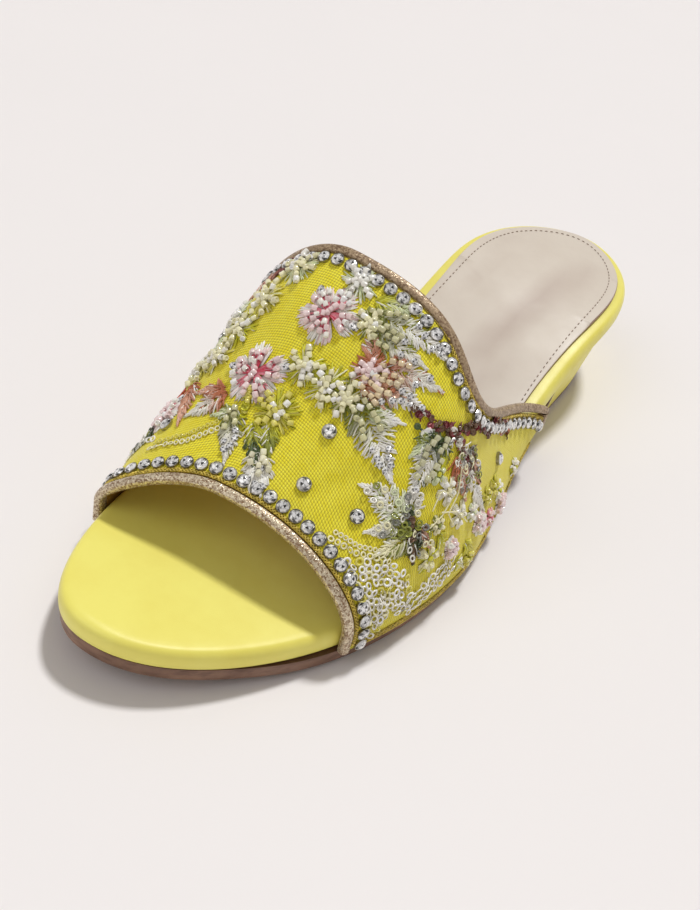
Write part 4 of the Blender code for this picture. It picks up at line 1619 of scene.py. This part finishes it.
class SLIPPER_OT_roses(bpy.types.Operator):
    """Embroider the rose flowers."""

    bl_idname = "slipper.roses"
    bl_label = "Roses"

    def execute(self, context):
        sewing = Sewing(100)
        for rose in ROSES:
            sew_rose(sewing, *rose)
        sewing.finish("rose")
        return {"FINISHED"}


class SLIPPER_OT_clusters(bpy.types.Operator):
    """Sew the bead clusters and the small blossoms."""

    bl_idname = "slipper.clusters"
    bl_label = "Bead clusters"

    def execute(self, context):
        sewing = Sewing(200)
        for cluster in CLUSTERS:
            sew_cluster(sewing, *cluster)
        for blossom in BLOSSOMS:
            sew_blossom(sewing, *blossom)
        sewing.finish("cluster")
        return {"FINISHED"}


class SLIPPER_OT_leaves(bpy.types.Operator):
    """Embroider the satin leaves, in one piece for each side of the upper."""

    bl_idname = "slipper.leaves"
    bl_label = "Leaves"

    def execute(self, context):
        for name, seed, outer in (("outer_leaf", 300, True), ("inner_leaf", 350, False)):
            sewing = Sewing(seed)
            for y0, angle0, y1, angle1, *looks in LEAVES:
                if (angle0 > LEAF_DIVIDE) == outer:
                    sew_leaf(sewing, (y0, angle0), (y1, angle1), *looks)
            sewing.finish(name)
        return {"FINISHED"}


class SLIPPER_OT_sequins(bpy.types.Operator):
    """Sew the stems of sequins, the chains of rings, the ring patch and the curls."""

    bl_idname = "slipper.sequins"
    bl_label = "Sequins and rings"

    def execute(self, context):
        sewing = Sewing(400)
        for stem in STEMS:
            sew_stem(sewing, *stem)
        for chain in CHAINS:
            sew_chain(sewing, *chain)
        for curl in CURLS:
            sew_curl(sewing, curl)
        fill_with_rings(sewing, RING_PATCH)
        sewing.finish("stem")
        return {"FINISHED"}


class SLIPPER_OT_lining_stitches(bpy.types.Operator):
    """Run the line of stitches round the sock lining."""

    bl_idname = "slipper.lining_stitches"
    bl_label = "Lining stitches"

    def execute(self, context):
        sizes, colours = context.scene.slipper_sizes, context.scene.slipper_colours
        tree = surface(bpy.data.objects["sock_lining_dressed"].data)
        strands = Strands("thread", 51)
        line = smooth_line(lining_rim_and_crease_shade(tree, sizes.stitch_inset), sizes.stitch_pitch)
        for a, b in zip(line, line[1:]):
            ends = [tree.ray_cast(a.lerp(b, t), -UP)[0] for t in (0.15, 0.65)]
            if None not in ends:
                root, tip = (end + UP * STITCH_LIFT for end in ends)
                bend = (root + tip) / 2 + UP * STITCH_RISE
                strands.put(root, bend, tip, UP, STITCH_THREAD, colours.stitches)
        strands.piece("lining_stitches", "sock_lining")
        return {"FINISHED"}


class SLIPPER_OT_stage(bpy.types.Operator):
    """Make the floor, the soft lights and the camera."""

    bl_idname = "slipper.stage"
    bl_label = "Stage"

    def execute(self, context):
        make_floor(context)
        make_lights()
        make_camera(context)
        return {"FINISHED"}


# Radius of the floor, height of its rim and radius of the curve between them
FLOOR_RADIUS = 4.0
FLOOR_RIM = 1.0
FLOOR_CURVE = 0.7


def make_floor(context):
    """Wide pale floor that curves up far away, all round the slipper."""
    floor = edit_new(bpy.ops.mesh.primitive_cylinder_add, vertices=96, radius=FLOOR_RADIUS,
                     depth=FLOOR_RIM)
    bpy.ops.mesh.select_all(action="SELECT")
    bpy.ops.transform.translate(value=(0, 0, FLOOR_RIM / 2))
    select_faces(floor, lambda centre, normal: normal.z < -0.9)
    bpy.ops.mesh.bevel(offset=FLOOR_CURVE, segments=8, affect="EDGES")
    select_faces(floor, lambda centre, normal: normal.z > 0.9 and centre.z > 0.9)
    bpy.ops.mesh.delete(type="FACE")
    bpy.ops.mesh.select_all(action="SELECT")
    bpy.ops.mesh.faces_shade_smooth()
    bpy.ops.object.mode_set(mode="OBJECT")
    floor.name = "floor"
    material, n = start_material("pale_floor", roughness=0.7)
    colour = context.scene.slipper_colours.floor
    faint = n.spread(n.noise(n.place(), 9.0, 3.0), 0.3, 0.7, 0.0, 0.04)
    n.shade(base_color=n.mix(faint, colour, [0.8 * c for c in colour]))
    set_material(floor, material)


# Strength of the pale room, and the suns: name, place they shine from, angle across in degrees, strength
ROOM_LIGHT = 0.34
SUNS = (("soft_top", (-0.06, 0.61, 1.30), 8, 1.96), ("soft_front", (-0.55, -0.8, 1.1), 40, 0.36))


def make_lights():
    """A high soft light from behind and a weaker one in front, in an even pale room."""
    world = bpy.data.worlds.new("soft_room")
    world.use_nodes = True
    background = world.node_tree.nodes["Background"]
    background.inputs["Color"].default_value = (*tone("fffaf6"), 1)
    background.inputs["Strength"].default_value = ROOM_LIGHT
    bpy.context.scene.world = world
    for name, place, angle, strength in SUNS:
        data = bpy.data.lights.new(name, "SUN")
        data.angle = math.radians(angle)
        data.energy = strength
        lamp = add_object(name, data)
        lamp.location = place
        lamp.rotation_mode = "QUATERNION"
        lamp.rotation_quaternion = (-Vector(place)).to_track_quat("-Z", "Y")


def make_camera(context):
    """Camera at the photograph's place, turned, tilted and rolled."""
    stage = context.scene.slipper_stage
    level = Vector((-math.sin(stage.heading), math.cos(stage.heading), 0))
    ahead = level * math.cos(stage.tilt) - UP * math.sin(stage.tilt)
    right = ahead.cross(UP).normalized()
    up = right.cross(ahead)
    side = right * math.cos(stage.roll) + up * math.sin(stage.roll)
    top = up * math.cos(stage.roll) - right * math.sin(stage.roll)
    data = bpy.data.cameras.new("camera")
    data.sensor_width = 36
    data.lens = stage.lens
    data.clip_start = 0.01
    camera = add_object("camera", data)
    turned = Matrix((side, top, -ahead)).transposed().to_4x4()
    camera.matrix_world = Matrix.Translation(stage.camera_place) @ turned
    context.scene.camera = camera
    context.scene.view_settings.view_transform = "Standard"


OPERATORS = (
    SLIPPER_OT_leather_parts,
    SLIPPER_OT_upper,
    SLIPPER_OT_pipings,
    SLIPPER_OT_edge_stones,
    SLIPPER_OT_gold_braid,
    SLIPPER_OT_roses,
    SLIPPER_OT_clusters,
    SLIPPER_OT_leaves,
    SLIPPER_OT_sequins,
    SLIPPER_OT_lining_stitches,
    SLIPPER_OT_stage,
)


class SLIPPER_PT_panel(bpy.types.Panel):
    """Buttons that dress the slipper, in order, and its sizes and colours."""

    bl_label = "Slipper"
    bl_idname = "SLIPPER_PT_panel"
    bl_space_type = "VIEW_3D"
    bl_region_type = "UI"
    bl_category = "Slipper"

    def draw(self, context):
        for operator in OPERATORS:
            self.layout.operator(operator.bl_idname)
        for label in GROUPS:
            group = getattr(context.scene, label)
            box = self.layout.box()
            for name in group.bl_rna.properties.keys():
                if name not in ("rna_type", "name"):
                    box.prop(group, name)


GROUPS = {"slipper_sizes": SlipperSizes, "slipper_colours": SlipperColours, "slipper_stage": SlipperStage}


def register():
    for group in GROUPS.values():
        bpy.utils.register_class(group)
    for operator in OPERATORS:
        bpy.utils.register_class(operator)
    bpy.utils.register_class(SLIPPER_PT_panel)
    for name, group in GROUPS.items():
        setattr(bpy.types.Scene, name, bpy.props.PointerProperty(type=group))


def unregister():
    for name in GROUPS:
        delattr(bpy.types.Scene, name)
    bpy.utils.unregister_class(SLIPPER_PT_panel)
    for operator in reversed(OPERATORS):
        bpy.utils.unregister_class(operator)
    for group in reversed(list(GROUPS.values())):
        bpy.utils.unregister_class(group)


def main():
    register()
    for operator in OPERATORS:
        family, action = operator.bl_idname.split(".")
        getattr(getattr(bpy.ops, family), action)()
    for name in SHAPES:
        mesh = bpy.data.meshes.get(name + "_shape")
        if mesh:
            bpy.data.meshes.remove(mesh)


if __name__ == "__main__":
    main()
